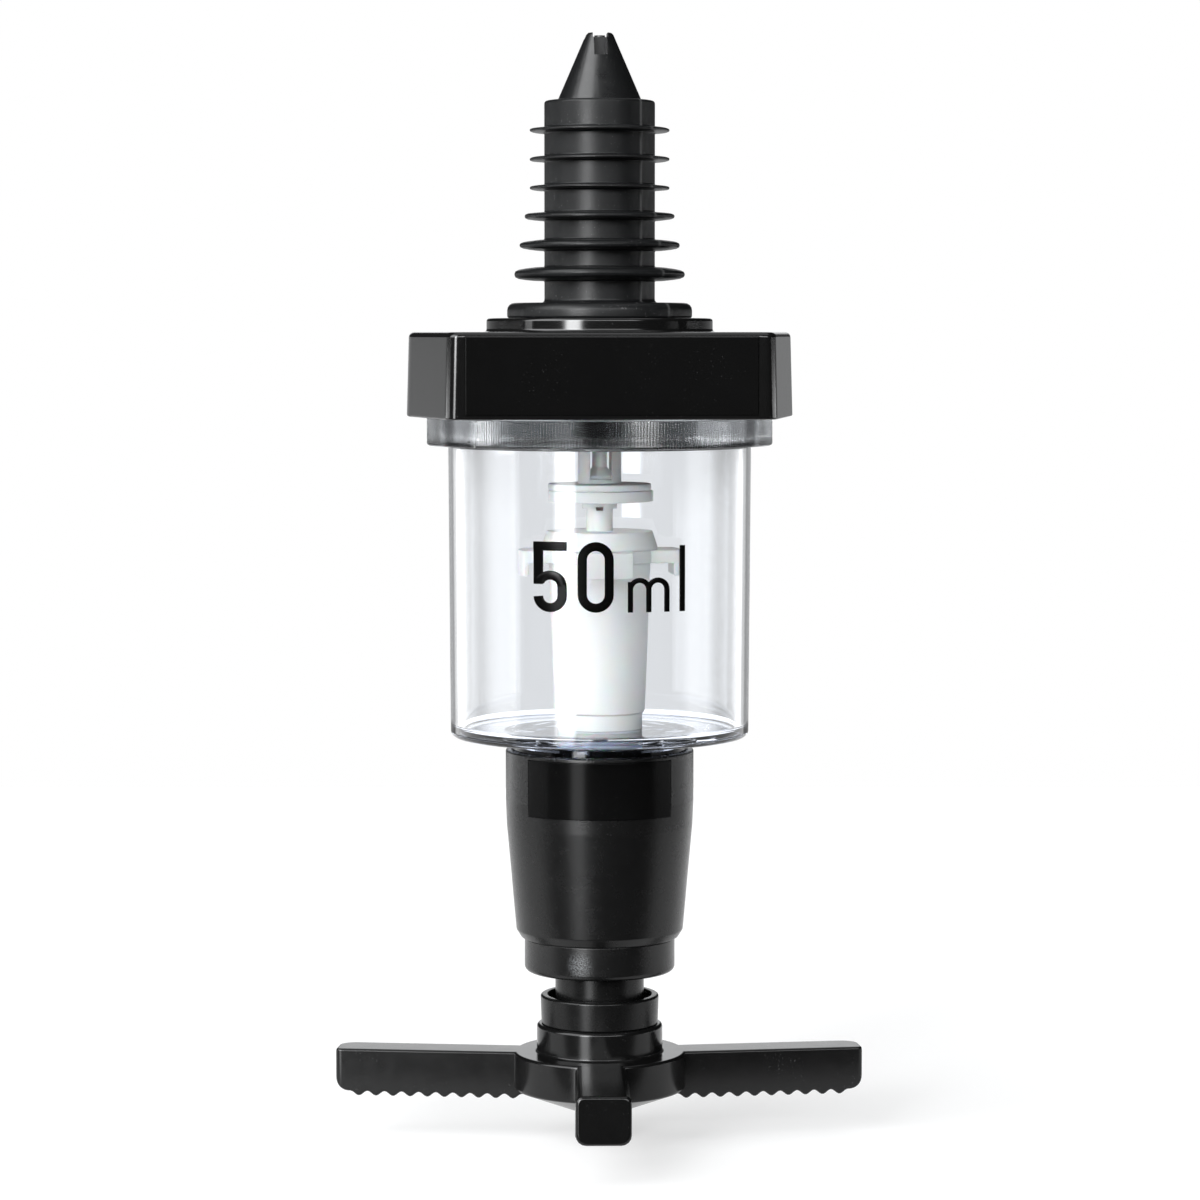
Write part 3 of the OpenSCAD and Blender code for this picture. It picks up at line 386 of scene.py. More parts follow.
# %% [markdown]
# Two finishes carry marks of their making and use. The stopper has light scuffs from the
# necks that it was pushed into, and a painted highlight along the ridge of flash where the halves
# of its mould met. The collar has a worn patch of grey specks at its front. These go over the
# finish's own colour.


# %% Marks over a finish
def under(material):
    """The colour that a finish has so far, its shader and its place."""
    shader = material.node_tree.nodes["Principled BSDF"]
    base = Wire(material.node_tree, shader.inputs["Base Color"].links[0].from_socket)
    return base, shader, base.node("TexCoord", output="Object")


SEAM_TURN = math.radians(47.5)
base, shader, spot = under(STOPPER)
x, y = spot.parts()[:2]
across = spot.math("ABSOLUTE", x * math.cos(SEAM_TURN) + y * math.sin(SEAM_TURN))
# Painted highlight: a pale stripe down the ridge of flash, standing in for the light that the
# ridge catches.
painted_seam_highlight = (1 - across.step(0.15 * MM, 0.4 * MM)) * (x * math.sin(SEAM_TURN)).step(0, 0.001)
long_spot = spot.node("Mapping", inputs={"Vector": spot, "Scale": (1, 1, 0.3)})
scuffs = long_spot.noise(0.5, 6, 0.7).step(0.60, 0.72) * spot.noise(4.0, 2).step(0.46, 0.66)
# The pale grey is real wear in the scuffs, and a painted highlight along the flash.
feed(shader, "Base Color", (painted_seam_highlight * 0.25 + scuffs * 0.3).mixed(base, grey(0.16)))

collar_foot, collar_top = levels("retaining_collar")
collar_r = radius("retaining_collar")
PATCH_TURN = math.radians(-15.5)
patch = (collar_r * math.sin(PATCH_TURN), -collar_r * math.cos(PATCH_TURN), collar_foot + 2.6)
base, shader, spot = under(COLLAR_SATIN)
distance = spot.node("VectorMath", output="Value", operation="DISTANCE",
                     inputs={0: spot, 1: Vector(patch) * MM})
near = 1 - distance.step(0.4 * MM, 2.6 * MM)
specks = near * spot.noise(0.22, 5, 0.75).step(0.44, 0.60)
feed(shader, "Base Color", (specks * 0.75).mixed(base, grey(0.12, 0.1)))
print(f"seam at {math.degrees(SEAM_TURN):.1f} degrees, patch at", [round(c, 1) for c in patch])

# %% [markdown]
# The chamber is clear polished styrene plastic. It is a real closed wall that bends light, with
# a faint blue in its thickness. A see-through alpha would be quicker to render, but the
# bright and dark lines at the edges of a clear moulding come only from refraction. The
# ribs of the lip scatter the light more finely than their mesh can, so the lip is painted: a
# grey painted shade for the black cap seen through it, paler painted highlights along the
# ribs and a wavy line of painted glints. A bluish painted shade round the floor deepens the
# dark line that refraction draws there.

# %% Clear and metal finishes
CLEAR, shader, spot = finish("clear_plastic", {"Transmission Weight": 1.0, "IOR": 1.49})
x, y, z = spot.parts()
around = spot.math("ARCTAN2", y, x)
lip_level = (levels("measuring_chamber")[1] - RIM_H - LIP_H) * MM
lip = z.step(lip_level - 0.1 * MM, lip_level + 0.3 * MM)
rib = 0.5 + 0.5 * spot.math("SINE", around * RIBS)
wander = spot.noise(6.0, 2) - 0.5
line_level = lip_level + 1.5 * MM + 1.6 * MM * wander
# Painted glints: a wavy line of near-white specks across the lip.
gleam = 1 - spot.math("ABSOLUTE", z - line_level).step(0.10 * MM, 0.45 * MM)
glints = gleam * spot.noise(0.5, 4, 0.7).step(0.42, 0.6)
# Painted shade: the lip is darkened to grey for the black cap seen through its ribs.
tint_and_painted_light = lip.mixed((0.975, 0.985, 1.0, 1), (0.20, 0.21, 0.22, 1))
# Painted highlight: paler streaks along the ribs, for the light that they scatter.
tint_and_painted_light = (lip * rib * (0.2 + 0.9 * spot.noise(2.5, 2))).mixed(tint_and_painted_light, (0.70, 0.72, 0.74, 1))
# Painted shade: a bluish darker band round the chamber's floor, for the dark line that refraction
# draws there.
foot = 1 - z.step(0.7 * MM, 1.9 * MM)
tint_and_painted_light = foot.mixed(tint_and_painted_light, (0.66, 0.72, 0.86, 1))
# The near-white mix here is the painted glints of the lip.
feed(shader, "Base Color", (glints * lip).mixed(tint_and_painted_light, (0.97, 0.98, 1.0, 1)))
feed(shader, "Roughness", 0.01 + 0.13 * lip)
feed(shader, "Normal", relief(spot, spot.noise(12.0, 2), 0.012))

STEEL, shader, spot = finish("spring_steel", {"Metallic": 1.0, "Base Color": grey(0.62)})
drawn = spot.node("Mapping", inputs={"Vector": spot, "Scale": (1, 1, 6)}).noise(0.6, 4)
feed(shader, "Roughness", 0.22 + 0.2 * drawn)
feed(shader, "Normal", relief(spot, drawn, 0.004))
print("clear and steel finishes are ready")

# %% [markdown]
# ## Bottle stopper
# The stopper is soft black rubber with six fins that fold up against the glass of the neck.
# The lower fins are thicker and wider, so that one stopper seals several bores. The outline
# climbs the stopper fin by fin. The mould leaves a thin line of flash down one side, which is
# one column of the spun mesh pushed out a little.

# %% Stopper
cork_foot, cork_top = levels("cork_stopper")
BORE_R = 5.2 + SEAT
CORK_R = 8.8
BASE_H = 2.4
FIN_FIRST = 4.65
FIN_PITCH = 4.55
FINS = 6
FIN_THICK = 0.8
FIN_THICKER = 0.47  # by this each low fin is thicker than the one above it
FIN_REACH = 2.3
FIN_LONGER = 0.825  # and by this it reaches further out
base_r = radius("cork_stopper")
outline = [(BORE_R, cork_foot, 0.1), (base_r, cork_foot, 0.35), (base_r, cork_foot + BASE_H, 1.5),
           (CORK_R, cork_foot + BASE_H, 0.6)]
for i in range(FINS - 1, -1, -1):
    growth = max(0, i - 2)
    level = cork_top - FIN_FIRST - i * FIN_PITCH
    root = (FIN_THICK + FIN_THICKER * growth) / 2
    reach = FIN_REACH + FIN_LONGER * growth
    swell = [(0, root), (0.35, 0.95 * root), (0.65, 0.80 * root), (0.86, 0.58 * root + 0.05),
             (0.97, 0.36 * root + 0.04), (1, 0.10)]
    side = [(CORK_R + reach * out, thick) for out, thick in swell]
    outline += [(r, level - thick, 0.25 if thick == root else 0.1) for r, thick in side]
    outline += [(r, level + thick, 0.25 if thick == root else 0.1) for r, thick in reversed(side)]
outline += [(CORK_R, cork_top, 0.45), (BORE_R, cork_top, 0.15)]
STOPPER_STEPS = 144
stopper = turned(outline, STOPPER_STEPS, segments=4)


# %% Flash of the mould
def flash(bm, turn, height, inner, low, high):
    """Pushes out the column of points at that turn from the front, in degrees."""
    for vert in bm.verts:
        around = math.degrees(math.atan2(vert.co.x, -vert.co.y))
        out = math.hypot(vert.co.x, vert.co.y) / MM
        if abs(around - turn) < 0.1 and out > inner and low < vert.co.z / MM < high:
            vert.co.xy *= 1 + height / out


STEP_TURN = 360 / STOPPER_STEPS
FLASH_STEP = 19  # columns of the spun mesh from the front
BASE_FLASH_STEP = -21
base_top = cork_foot + BASE_H + 0.5
flash(stopper, FLASH_STEP * STEP_TURN, 0.14, CORK_R - 0.1, cork_foot, cork_top)
flash(stopper, BASE_FLASH_STEP * STEP_TURN, 0.12, CORK_R + 1, cork_foot, base_top)
FIN_SWAY = 0.035  # the soft fins aren't quite flat
for vert in stopper.verts:
    out = math.hypot(vert.co.x, vert.co.y) / MM
    level = vert.co.z / MM
    if out > CORK_R + 0.6 and level > base_top:
        around = math.atan2(vert.co.y, vert.co.x)
        sway = math.sin(2 * around + level) + 0.5 * math.sin(5 * around + 2 * level)
        vert.co.z += FIN_SWAY * MM * sway * (out - CORK_R) / FIN_REACH
piece("stopper_fins", stopper, STOPPER, "housing", "cork_stopper")

# %% [markdown]
# ## Inlet nozzle
# A hard black tube runs through the stopper and ends in a slotted cone inside the bottle. Its
# slots and throat are exact in the CAD, so it is a bevelled copy, whose tip is notched right
# through at both sides of the fine air tube.

# %% Nozzle
NOTCH_W = 2.4
NOTCH_DEPTH = 0.7
NOTCH_REACH = 3  # past both sides of the tip
nozzle_foot, nozzle_tip = levels("inlet_nozzle")
notch = plate(NOTCH_W, 2 * NOTCH_DEPTH, NOTCH_REACH, -NOTCH_REACH, nozzle_tip)
nozzle = combined(from_cad("inlet_nozzle", 0.14), swung(notch, HEAD_TURN), "DIFFERENCE")
piece("nozzle_cone", nozzle, NOZZLE, "housing", "inlet_nozzle")

# %% [markdown]
# ## Cap
# The cap is one gloss moulding: a round back, a flat front for a panel, flanks that lean in and
# a round boss on top. It widens a little towards its foot, which let it leave the mould. Its
# plan isn't round, so a spin won't do: it is a ring of sections, each a plan outline or a
# circle with points at the same bearings, from the outer wall over the boss into the bore
# and back through the cavity that screws on to the chamber.

# %% Plan of the cap
CAP_H = 13.4
cap_foot = levels("measuring_chamber")[1] - RIM_H
cap_top = cap_foot + CAP_H
inlet_foot, boss_top = levels("cap")
CAP_R = 30.6
CAP_FRONT = 28.0
FRONT_HALF = 25.0
FLANK = 3.5
CORNER_R = 2.0
flank_x = math.sqrt(CAP_R ** 2 - FLANK ** 2)
arc_end = math.atan2(-FLANK, flank_x)
BACK_POINTS = 72
plan = [(CAP_R * math.cos(arc_end + k / BACK_POINTS * (math.pi - 2 * arc_end)),
         CAP_R * math.sin(arc_end + k / BACK_POINTS * (math.pi - 2 * arc_end)), 0)
        for k in range(BACK_POINTS + 1)]
plan += [(-FRONT_HALF, -CAP_FRONT, CORNER_R), (FRONT_HALF, -CAP_FRONT, CORNER_R)]
plan = rounded(plan, True, 8)


def subdivided(points, longest):
    """A closed outline with its long sides cut into shorter ones."""
    fine = []
    for a, b in zip(points, points[1:] + points[:1]):
        count = max(1, math.ceil(math.dist(a, b) / longest))
        fine += [(a[0] + (b[0] - a[0]) * k / count, a[1] + (b[1] - a[1]) * k / count)
                 for k in range(count)]
    return fine


plan = subdivided(plan, 1.2)
print("points round the cap:", len(plan))

# %% Sections of the cap
DRAFT_FOOT = 1.006
DRAFT_TOP = 0.9935


def plan_section(inset, level):
    """The cap's plan drawn in by an inset, at a level, with the draft across its width."""
    share = (level - cap_foot) / (cap_top - cap_foot)
    wide = DRAFT_FOOT + (DRAFT_TOP - DRAFT_FOOT) * share
    return [(x * (wide - inset / CAP_R), y * (1 - inset / CAP_FRONT), level) for x, y in plan]


def circle_section(r, level):
    """A circle with its points at the bearings of the plan's points."""
    return [(r * x / math.hypot(x, y), r * y / math.hypot(x, y), level) for x, y in plan]


def quarter(r, count=5):
    """Steps (inset, drop) of a rounded edge, from its side to its top."""
    angles = [k / count * math.pi / 2 for k in range(count + 1)]
    return [(r * (1 - math.cos(a)), r * (1 - math.sin(a))) for a in angles]


EDGE_TOP = 0.85
EDGE_FOOT = 0.3
CAVITY_R = 24.9 + SEAT
INLET_R = 10.65
INLET_BORE = 3.51
GASKET_TOP = levels("cap_gasket")[1] + SEAT
BOSS_R = 18.05
sections = [plan_section(inset, cap_foot + SEAT + drop)
            for inset, drop in reversed(quarter(EDGE_FOOT, 3))]
sections += [plan_section(inset, cap_top - drop) for inset, drop in quarter(EDGE_TOP)]
circles = rounded([(BOSS_R + 6, cap_top, 0), (BOSS_R, cap_top, 0.5), (BOSS_R, boss_top, 0.5),
                   (BORE_R, boss_top, 0.2), (BORE_R, nozzle_foot, 0),
                   (INLET_BORE, nozzle_foot, 0.1), (INLET_BORE, inlet_foot, 0.1),
                   (INLET_R, inlet_foot, 0.2),
                   (INLET_R, GASKET_TOP, 0), (CAVITY_R, GASKET_TOP, 0),
                   (CAVITY_R, cap_foot + SEAT, 0.1), (CAVITY_R + 1, cap_foot + SEAT, 0)], False, 4)
sections += [circle_section(r, level) for r, level in circles]
cap = loft(sections, ring=True)
print("sections of the cap:", len(sections))

# %% [markdown]
# The plain panel on the front lies in a shallow recess. The recess is cut a hair larger than
# the panel, so a fine dark line shows round it, as it does on a fitted panel.

# %% Front panel and its recess
PANEL_W = 44.8
PANEL_H = 12.0
PANEL_T = 0.5
GROOVE = 0.06
panel_mid = (cap_foot + cap_top) / 2
cap = combined(cap, plate(PANEL_W + 2 * GROOVE, PANEL_H + 2 * GROOVE, CAP_FRONT + 1,
                          CAP_FRONT - PANEL_T, panel_mid), "DIFFERENCE")
panel = bevelled(plate(PANEL_W, PANEL_H, CAP_FRONT - 0.02, CAP_FRONT - PANEL_T + SEAT, panel_mid),
                 0.12, 35, 3)
piece("cap_moulding", swung(cap, HEAD_TURN), CAP_GLOSS, "housing", "cap", 25)
piece("bare_front_panel", swung(panel, HEAD_TURN), PANEL_GLOSS, "housing", "front_panel")

# %% [markdown]
# ## Measuring chamber
# The chamber is a clear cup with a thick ribbed lip, a thin floor and a spigot under it. One
# closed outline makes the whole wall. The lip is milled with hundreds of fine ribs for grip. A
# spin in so many steps is slow, so the outline is laid at two bearings for each rib as the
# sections of a ring, and at every second bearing its lip is drawn in.

# %% Chamber
chamber_foot, chamber_top = levels("measuring_chamber")
lip_top = cap_foot
lip_foot = lip_top - LIP_H
lip_r = radius("measuring_chamber")
SPIGOT_R = 14.15
FOOT_R = 23.9
TOP_R = 24.2
WALL = 1.8
FLOOR = 1.4
RIB_DEPTH = 0.13
OUTLET_R = 6.92
SPIGOT_BORE = 10.5
RIM_STEP = 2.7
rim_r = lip_r - RIM_STEP - SEAT
wall_outline = rounded([
    (OUTLET_R, 0, 0.1), (SPIGOT_BORE, 0, 0.15), (SPIGOT_BORE, chamber_foot, 0.15),
    (SPIGOT_R, chamber_foot, 0.3), (SPIGOT_R, 0, 1.2), (FOOT_R, 0, 1.0), (TOP_R, lip_foot, 0.35),
    (lip_r, lip_foot, 0.45), (lip_r, lip_top, 0.35), (rim_r, lip_top, 0.15),
    (rim_r, chamber_top, 0.25), (TOP_R - WALL, chamber_top, 0.25), (TOP_R - WALL, lip_foot, 0),
    (FOOT_R - WALL, FLOOR, 0.9),
    (OUTLET_R, FLOOR, 0.1)], True, 4)
sections = []
for column in range(2 * RIBS):
    turn = column * math.pi / RIBS
    groove = RIB_DEPTH * (column % 2)
    drawn = [(r - groove * (r > lip_r - 0.2), z) for r, z in wall_outline]
    sections.append([(math.cos(turn) * r, math.sin(turn) * r, z) for r, z in drawn])
chamber = loft(sections, ring=True)
print("sections of the chamber:", len(sections))

# %% [markdown]
# A cheap clear moulding has a few air bubbles near its gate. Each is a tiny ball whose faces
# look inwards, so that the light meets air inside the plastic.

# %% Bubbles in the lip
BUBBLES = [(-49, 0.9, 0.22), (-46, 0.6, 0.30), (-43.5, 1.1, 0.16), (-41, 0.7, 0.26),
           (-38, 0.9, 0.18), (-35, 0.6, 0.24), (-32, 1.0, 0.15)]
for turn, up, size in BUBBLES:
    bearing = math.radians(turn)
    reach = (lip_r - 1.0) * MM
    place = Vector((reach * math.sin(bearing), -reach * math.cos(bearing), (lip_foot + up) * MM))
    ball = bmesh.ops.create_icosphere(chamber, subdivisions=2, radius=size * MM,
                                      matrix=Matrix.Translation(place))
    faces = {face for vert in ball["verts"] for face in vert.link_faces}
    bmesh.ops.reverse_faces(chamber, faces=list(faces))
piece("clear_chamber", chamber, CLEAR, "housing", "measuring_chamber", 40)

# %% [markdown]
# ## Capacity mark
# The measure, 50 ml, stands on the front of the chamber as raised black figures. Each stroke is
# a low bar with rounded shoulders, swept along its centre line and bent round the wall, as a
# text object would be, but with even strokes and round ends.

# %% Strokes on the chamber wall
mark_foot, mark_top = levels("capacity_mark")
MARK_H = mark_top - mark_foot
RELIEF = 0.3
SHOULDER = 0.11


def on_wall(x, z, height):
    """A point on the chamber's wall, across and up from the foot of the mark."""
    level = mark_foot + z
    wall = FOOT_R + (TOP_R - FOOT_R) * level / lip_foot
    bearing = math.asin(x / wall) + HEAD_TURN
    return ((wall + height) * math.sin(bearing), -(wall + height) * math.cos(bearing), level)


def stroke(path, width, ring=False):
    """A raised bar along a centre line in the plane of the mark."""
    edge, soft = width / 2, 0.3 * SHOULDER
    across = [(-edge, SEAT), (-edge, RELIEF - SHOULDER), (-edge + soft, RELIEF - soft),
              (-edge + SHOULDER, RELIEF), (edge - SHOULDER, RELIEF), (edge - soft, RELIEF - soft),
              (edge, RELIEF - SHOULDER), (edge, SEAT)]
    rows = []
    for i, here in enumerate(path):
        last = path[i - 1] if ring or i else here
        after = path[(i + 1) % len(path)] if ring or i < len(path) - 1 else here
        along = (Vector(after) - Vector(last)).normalized()
        rows.append([on_wall(here[0] - along.y * side, here[1] + along.x * side, height)
                     for side, height in across])
    return loft(rows, ring)


def bend(x, z, r, start, end, count=14):
    """Points of an arc round (x, z), from one angle to another in degrees."""
    angles = [math.radians(start + (end - start) * k / count) for k in range(count + 1)]
    return [(x + r * math.cos(a), z + r * math.sin(a)) for a in angles]


def line(x0, z0, x1, z1, count=6):
    """Points from (x0, z0) to (x1, z1)."""
    return [(x0 + (x1 - x0) * k / count, z0 + (z1 - z0) * k / count) for k in range(count + 1)]


# %% The figures and letters
FIGURE = 1.4
LETTER = 0.8
five_w, zero_w, m_w = 0.455 * MARK_H, 0.505 * MARK_H, 0.60 * MARK_H
five_x, zero_x, m_x, l_x = -1.067 * MARK_H, -0.46 * MARK_H, 0.245 * MARK_H, 0.998 * MARK_H
low_h, tall_h = 0.49 * MARK_H, 0.94 * MARK_H
bowl_h = 0.59 * MARK_H
bowl_r = (five_w - FIGURE) / 2
five_mid = five_x + five_w / 2
bowl_up = bowl_h - five_w / 2
zero_r = (zero_w - FIGURE) / 2
zero_mid = zero_x + zero_w / 2
bar_mid = FIGURE / 2
arch = (m_w + LETTER) / 2
arch_r = (arch - LETTER) / 2
arch_z = low_h - arch / 2
strokes = [
    stroke(line(five_x, MARK_H - bar_mid, five_x + five_w, MARK_H - bar_mid), FIGURE),
    stroke(line(five_x + bar_mid, MARK_H - 0.1, five_x + bar_mid, bowl_h - 1.5 * FIGURE), FIGURE),
    stroke(bend(five_mid, bowl_up, bowl_r, 150, 0) + bend(five_mid, five_w / 2, bowl_r, 0, -180),
           FIGURE),
    stroke(bend(zero_mid, zero_w / 2, zero_r, 180, 360)
           + bend(zero_mid, MARK_H - zero_w / 2, zero_r, 0, 180), FIGURE, True),
    stroke(line(m_x + LETTER / 2, 0, m_x + LETTER / 2, low_h - 0.6), LETTER)]
for i in (0, 1):
    arch_mid = m_x + arch / 2 + i * (arch - LETTER)
    strokes.append(stroke(bend(arch_mid, arch_z, arch_r, 165, 0)
                          + line(arch_mid + arch_r, arch_z, arch_mid + arch_r, 0)[1:], LETTER))
strokes.append(stroke(line(l_x + LETTER / 2, 0, l_x + LETTER / 2, tall_h), LETTER))
mark = bmesh.new()
for shape in strokes:
    mesh = bpy.data.meshes.new("stroke")
    shape.to_mesh(mesh)
    shape.free()
    mark.from_mesh(mesh)
    bpy.data.meshes.remove(mesh)
piece("capacity_figures", mark, MARK_INK, "housing", "capacity_mark", 50)

# %% [markdown]
# ## Valve works in the chamber
# The white parts inside are satin mouldings with exact windows, bores and hooks. Their CAD
# shapes are right, so they are bevelled copies. Those of the plunger ride on it.

# %% White inner pieces
for node, body, name, width in [
        ("spring_column", "housing", "tapered_column", 0.15),
        ("wing_plate", "housing", "hooked_plate", 0.22),
        ("bell_cap", "housing", "bell_cover", 0.2),
        ("valve_stem", "plunger", "plunger_stem", 0.08),
        ("stem_head", "plunger", "domed_head", 0.12),
        ("guide_cage", "plunger", "inlet_prongs", 0.1),
        ("inlet_back_plate", "plunger", "valve_back_disc", 0.2)]:
    piece(name, from_cad(node, width), WHITE, body, node)
piece("valve_soft_disc", from_cad("inlet_seal_plate", 0.22), SOFT_WHITE, "plunger",
      "inlet_seal_plate")

# %% [markdown]
# ## Lower body, panel and collar
# The lower body is a satin sleeve that tapers to a chamfered foot. Its smooth panel lies in a
# recess under the chamber, and the collar screws into its foot. All three are spun.

# %% Lower body
body_foot, body_top = levels("lower_body")
BODY_R = 15.1
socket_r = SPIGOT_R + SEAT
BAND_H = 8.1  # the straight band that a bracket holds
COLLAR_NECK = 10.9
ledge = chamber_foot - 2.04
neck_r = COLLAR_NECK + SEAT
sleeve = turned([
    (neck_r, body_foot, 0.1), (12.6, body_foot, 0.4), (13.42, body_foot + 1.3, 0.6),
    (13.93, body_foot + 7.0, 8), (14.2, body_foot + 10.2, 8), (14.65, body_foot + 15.1, 8),
    (14.94, body_foot + 18.3, 8), (BODY_R, body_top - BAND_H, 8), (BODY_R, body_top, 0.35),
    (socket_r, body_top, 0.1), (socket_r, ledge, 0), (socket_r - 1.3, ledge, 0),
    (11.65, collar_top + 1, 0), (neck_r, collar_top, 0)], 160)
PANEL_FOOT = body_top - 9.75
PANEL_TOP = body_top - 0.75
PANEL_HALF = math.asin(11.3 / BODY_R)
LABEL_T = 0.38
LABEL_RECESS = 0.42


def curved_plate(inner, outer, low, high, half_turn):
    """A plate bent round the axis and centred at the front."""
    return turned([(inner, low, 0), (outer, low, 0), (outer, high, 0), (inner, high, 0)],
                  48, 2 * half_turn, -math.pi / 2 - half_turn)


recess = curved_plate(BODY_R - LABEL_RECESS, BODY_R + 1, PANEL_FOOT - GROOVE,
                      PANEL_TOP + GROOVE, PANEL_HALF + GROOVE / BODY_R)
sleeve = combined(sleeve, recess, "DIFFERENCE")
piece("body_sleeve", sleeve, BODY_SATIN, "housing", "lower_body", 25)
label = curved_plate(BODY_R - LABEL_T, BODY_R, PANEL_FOOT, PANEL_TOP, PANEL_HALF)
piece("bare_body_panel", bevelled(label, 0.12), LABEL_SATIN, "housing", "body_panel")

# %% Collar and outlet tube
BUSH_R = 8.63
COLLAR_BORE = 9.9
collar = turned([
    (COLLAR_BORE, collar_foot, 0.2), (collar_r, collar_foot, 0.9),
    (collar_r, body_foot - SEAT, 0.25), (COLLAR_NECK, body_foot - SEAT, 0),
    (COLLAR_NECK, collar_top, 0.2), (BUSH_R, collar_top, 0.1), (BUSH_R, body_foot - 0.4, 0),
    (COLLAR_BORE, body_foot - 0.4, 0)], 144)
piece("foot_collar", collar, COLLAR_SATIN, "housing", "retaining_collar")
piece("neck_tube", from_cad("outlet_tube", 0.15), NYLON, "housing", "outlet_tube")

# %% [markdown]
# ## Crossbar
# The crossbar is one gloss moulding: a spun hub with disc, funnel and spout, and three arms
# that a glass pushes up. The side arms sweep back and have ten ridges under them. An arm is a
# loft of rounded sections whose lower edge follows the ridges, and whose last sections draw
# in round the tip. The arms are joined to the hub by a union, so the bar is a single skin.

# %% Hub, disc, funnel and spout
spout_foot, hub_top = levels("crossbar")
cup_foot, cup_top = levels("crossbar_cup")
HUB_H = 4.6
DISC_H = 5.9
FUNNEL_H = 3.8
disc_top = hub_top - HUB_H
disc_foot = disc_top - DISC_H
funnel_foot = disc_foot - FUNNEL_H
DISC_R = 13.9
HUB_R = 10.15
HUB_BORE = 7.21
SPOUT_R = 4.0
SPOUT_BORE = 2.7
foot_level = disc_foot - 0.3
clip_foot, clip_top = levels("foot_clip")
hub = turned([
    (SPOUT_BORE, spout_foot, 0.25), (SPOUT_R, spout_foot, 0.35), (SPOUT_R, funnel_foot, 0.4),
    (DISC_R, disc_foot, 0.6), (DISC_R, disc_top, 0.5), (HUB_R, disc_top, 0.35),
    (HUB_R, hub_top, 0.6), (8.62, hub_top, 0.1), (8.62, cup_foot - SEAT, 0),
    (HUB_BORE, cup_foot - SEAT, 0), (HUB_BORE, clip_top + SEAT, 0),
    (HUB_BORE + 0.5, clip_top + SEAT, 0), (HUB_BORE + 0.5, clip_foot - SEAT, 0),
    (HUB_BORE, clip_foot - SEAT, 0), (HUB_BORE, foot_level, 0), (6.2, foot_level, 0),
    (SPOUT_BORE, funnel_foot + 0.3, 0.5)], 144)

# %% Sections of the arms
ARM_H = 7.7
ARM_T = 6.2
ARM_ROOT = 9.2
RIDGE_FIRST = 13.8
RIDGE_PITCH = 2.8
RIDGE_DEPTH = 0.75
RIDGES = 10
TIP_BACK_R = 2.8
TIP_FRONT_R = 0.8
TIP_LOW_R = 2.2
BAR_SPAN = 85.7
FRONT_REACH = 36.6
FRONT_TIP_R = 0.5
FRONT_W = 8.1
FRONT_WIDER = 0.5  # at its end
arm_top = disc_top - SEAT
arm_foot = disc_top - ARM_H
sweep = math.radians(6.8)
bar_turn = math.radians(1)
arm_tip = (BAR_SPAN / 2 - ARM_T / 2 * math.sin(sweep)) / math.cos(sweep)


def ridge_level(u):
    """Level of the underside at a distance from the axis."""
    phase = (u - RIDGE_FIRST) / RIDGE_PITCH
    if not -0.5 <= phase <= RIDGES - 0.5:
        return arm_foot + RIDGE_DEPTH
    return arm_foot + RIDGE_DEPTH * (0.5 - 0.5 * math.cos(2 * math.pi * phase))


def drawn_in(u, r, end):
    """How far a rounded corner of radius r has drawn in at u, before an arm's end."""
    over = min(max(u - (end - r), 0.0), r)
    return r - math.sqrt(r * r - over * over)


def bar_section(front, back, low, top, top_r, low_r):
    """A section (across, up) with rounded corners, front at the lower side."""
    corners = [(front, low, low_r), (back, low, low_r), (back, top, top_r), (front, top, top_r)]
    return rounded(corners, True, 4)


def side_arm():
    """The right arm along +X before its sweep."""
    fine = 9
    stations = [ARM_ROOT, ARM_ROOT + 1.5, RIDGE_FIRST - RIDGE_PITCH / 2]
    stations += [RIDGE_FIRST + (k / fine - 0.5) * RIDGE_PITCH for k in range(1, fine * RIDGES)]
    stations = [u for u in stations if u < arm_tip - TIP_BACK_R]
    stations += [arm_tip - TIP_BACK_R * (1 - math.sin(k / 12 * math.pi / 2)) for k in range(13)]
    rows = []
    for u in stations:
        front = -ARM_T / 2 + drawn_in(u, TIP_FRONT_R, arm_tip)
        back = ARM_T / 2 - drawn_in(u, TIP_BACK_R, arm_tip)
        low = ridge_level(u) + drawn_in(u, TIP_LOW_R, arm_tip)
        top = arm_top - drawn_in(u, 0.4, arm_tip)
        rows.append([(u, v, z) for v, z in bar_section(front, back, low, top, 0.4, 0.5)])
    return loft(rows)


def front_arm():
    """The arm that faces the front, a little wider at its end."""
    reach = FRONT_REACH
    stations = [ARM_ROOT, 14, 20, 27, reach - 1]
    stations += [reach - FRONT_TIP_R * (1 - math.sin(k / 5 * math.pi / 2)) for k in range(6)]
    rows = []
    for u in stations:
        inset = drawn_in(u, FRONT_TIP_R, reach)
        half_w = (FRONT_W + FRONT_WIDER * (u - 5) / (reach - 5)) / 2 - inset
        rows.append([(v, -u, z) for v, z in bar_section(-half_w, half_w, arm_foot + inset,
                                                        arm_top - inset, 1.1, 1.6)])
    return loft(rows)


# %% Join the arms to the hub
right = swung(side_arm(), sweep)
left = swung(side_arm(), sweep)
bmesh.ops.scale(left, verts=left.verts, vec=(-1, 1, 1))
bmesh.ops.recalc_face_normals(left, faces=left.faces)
bar = hub
for arm in (right, left, front_arm()):
    bar = combined(bar, swung(arm, bar_turn), "UNION")
open_edges = sum(not e.is_manifold for e in bar.edges)
print("edges of the crossbar that aren't closed:", open_edges)
piece("push_bar", bar, BAR_GLOSS, "lever", "crossbar", 28)

# %% [markdown]
# ## Cup on the hub
# A small cup stands in the hub and hides the end of the outlet tube. Its rim slides up into
# the collar when the bar is pushed.

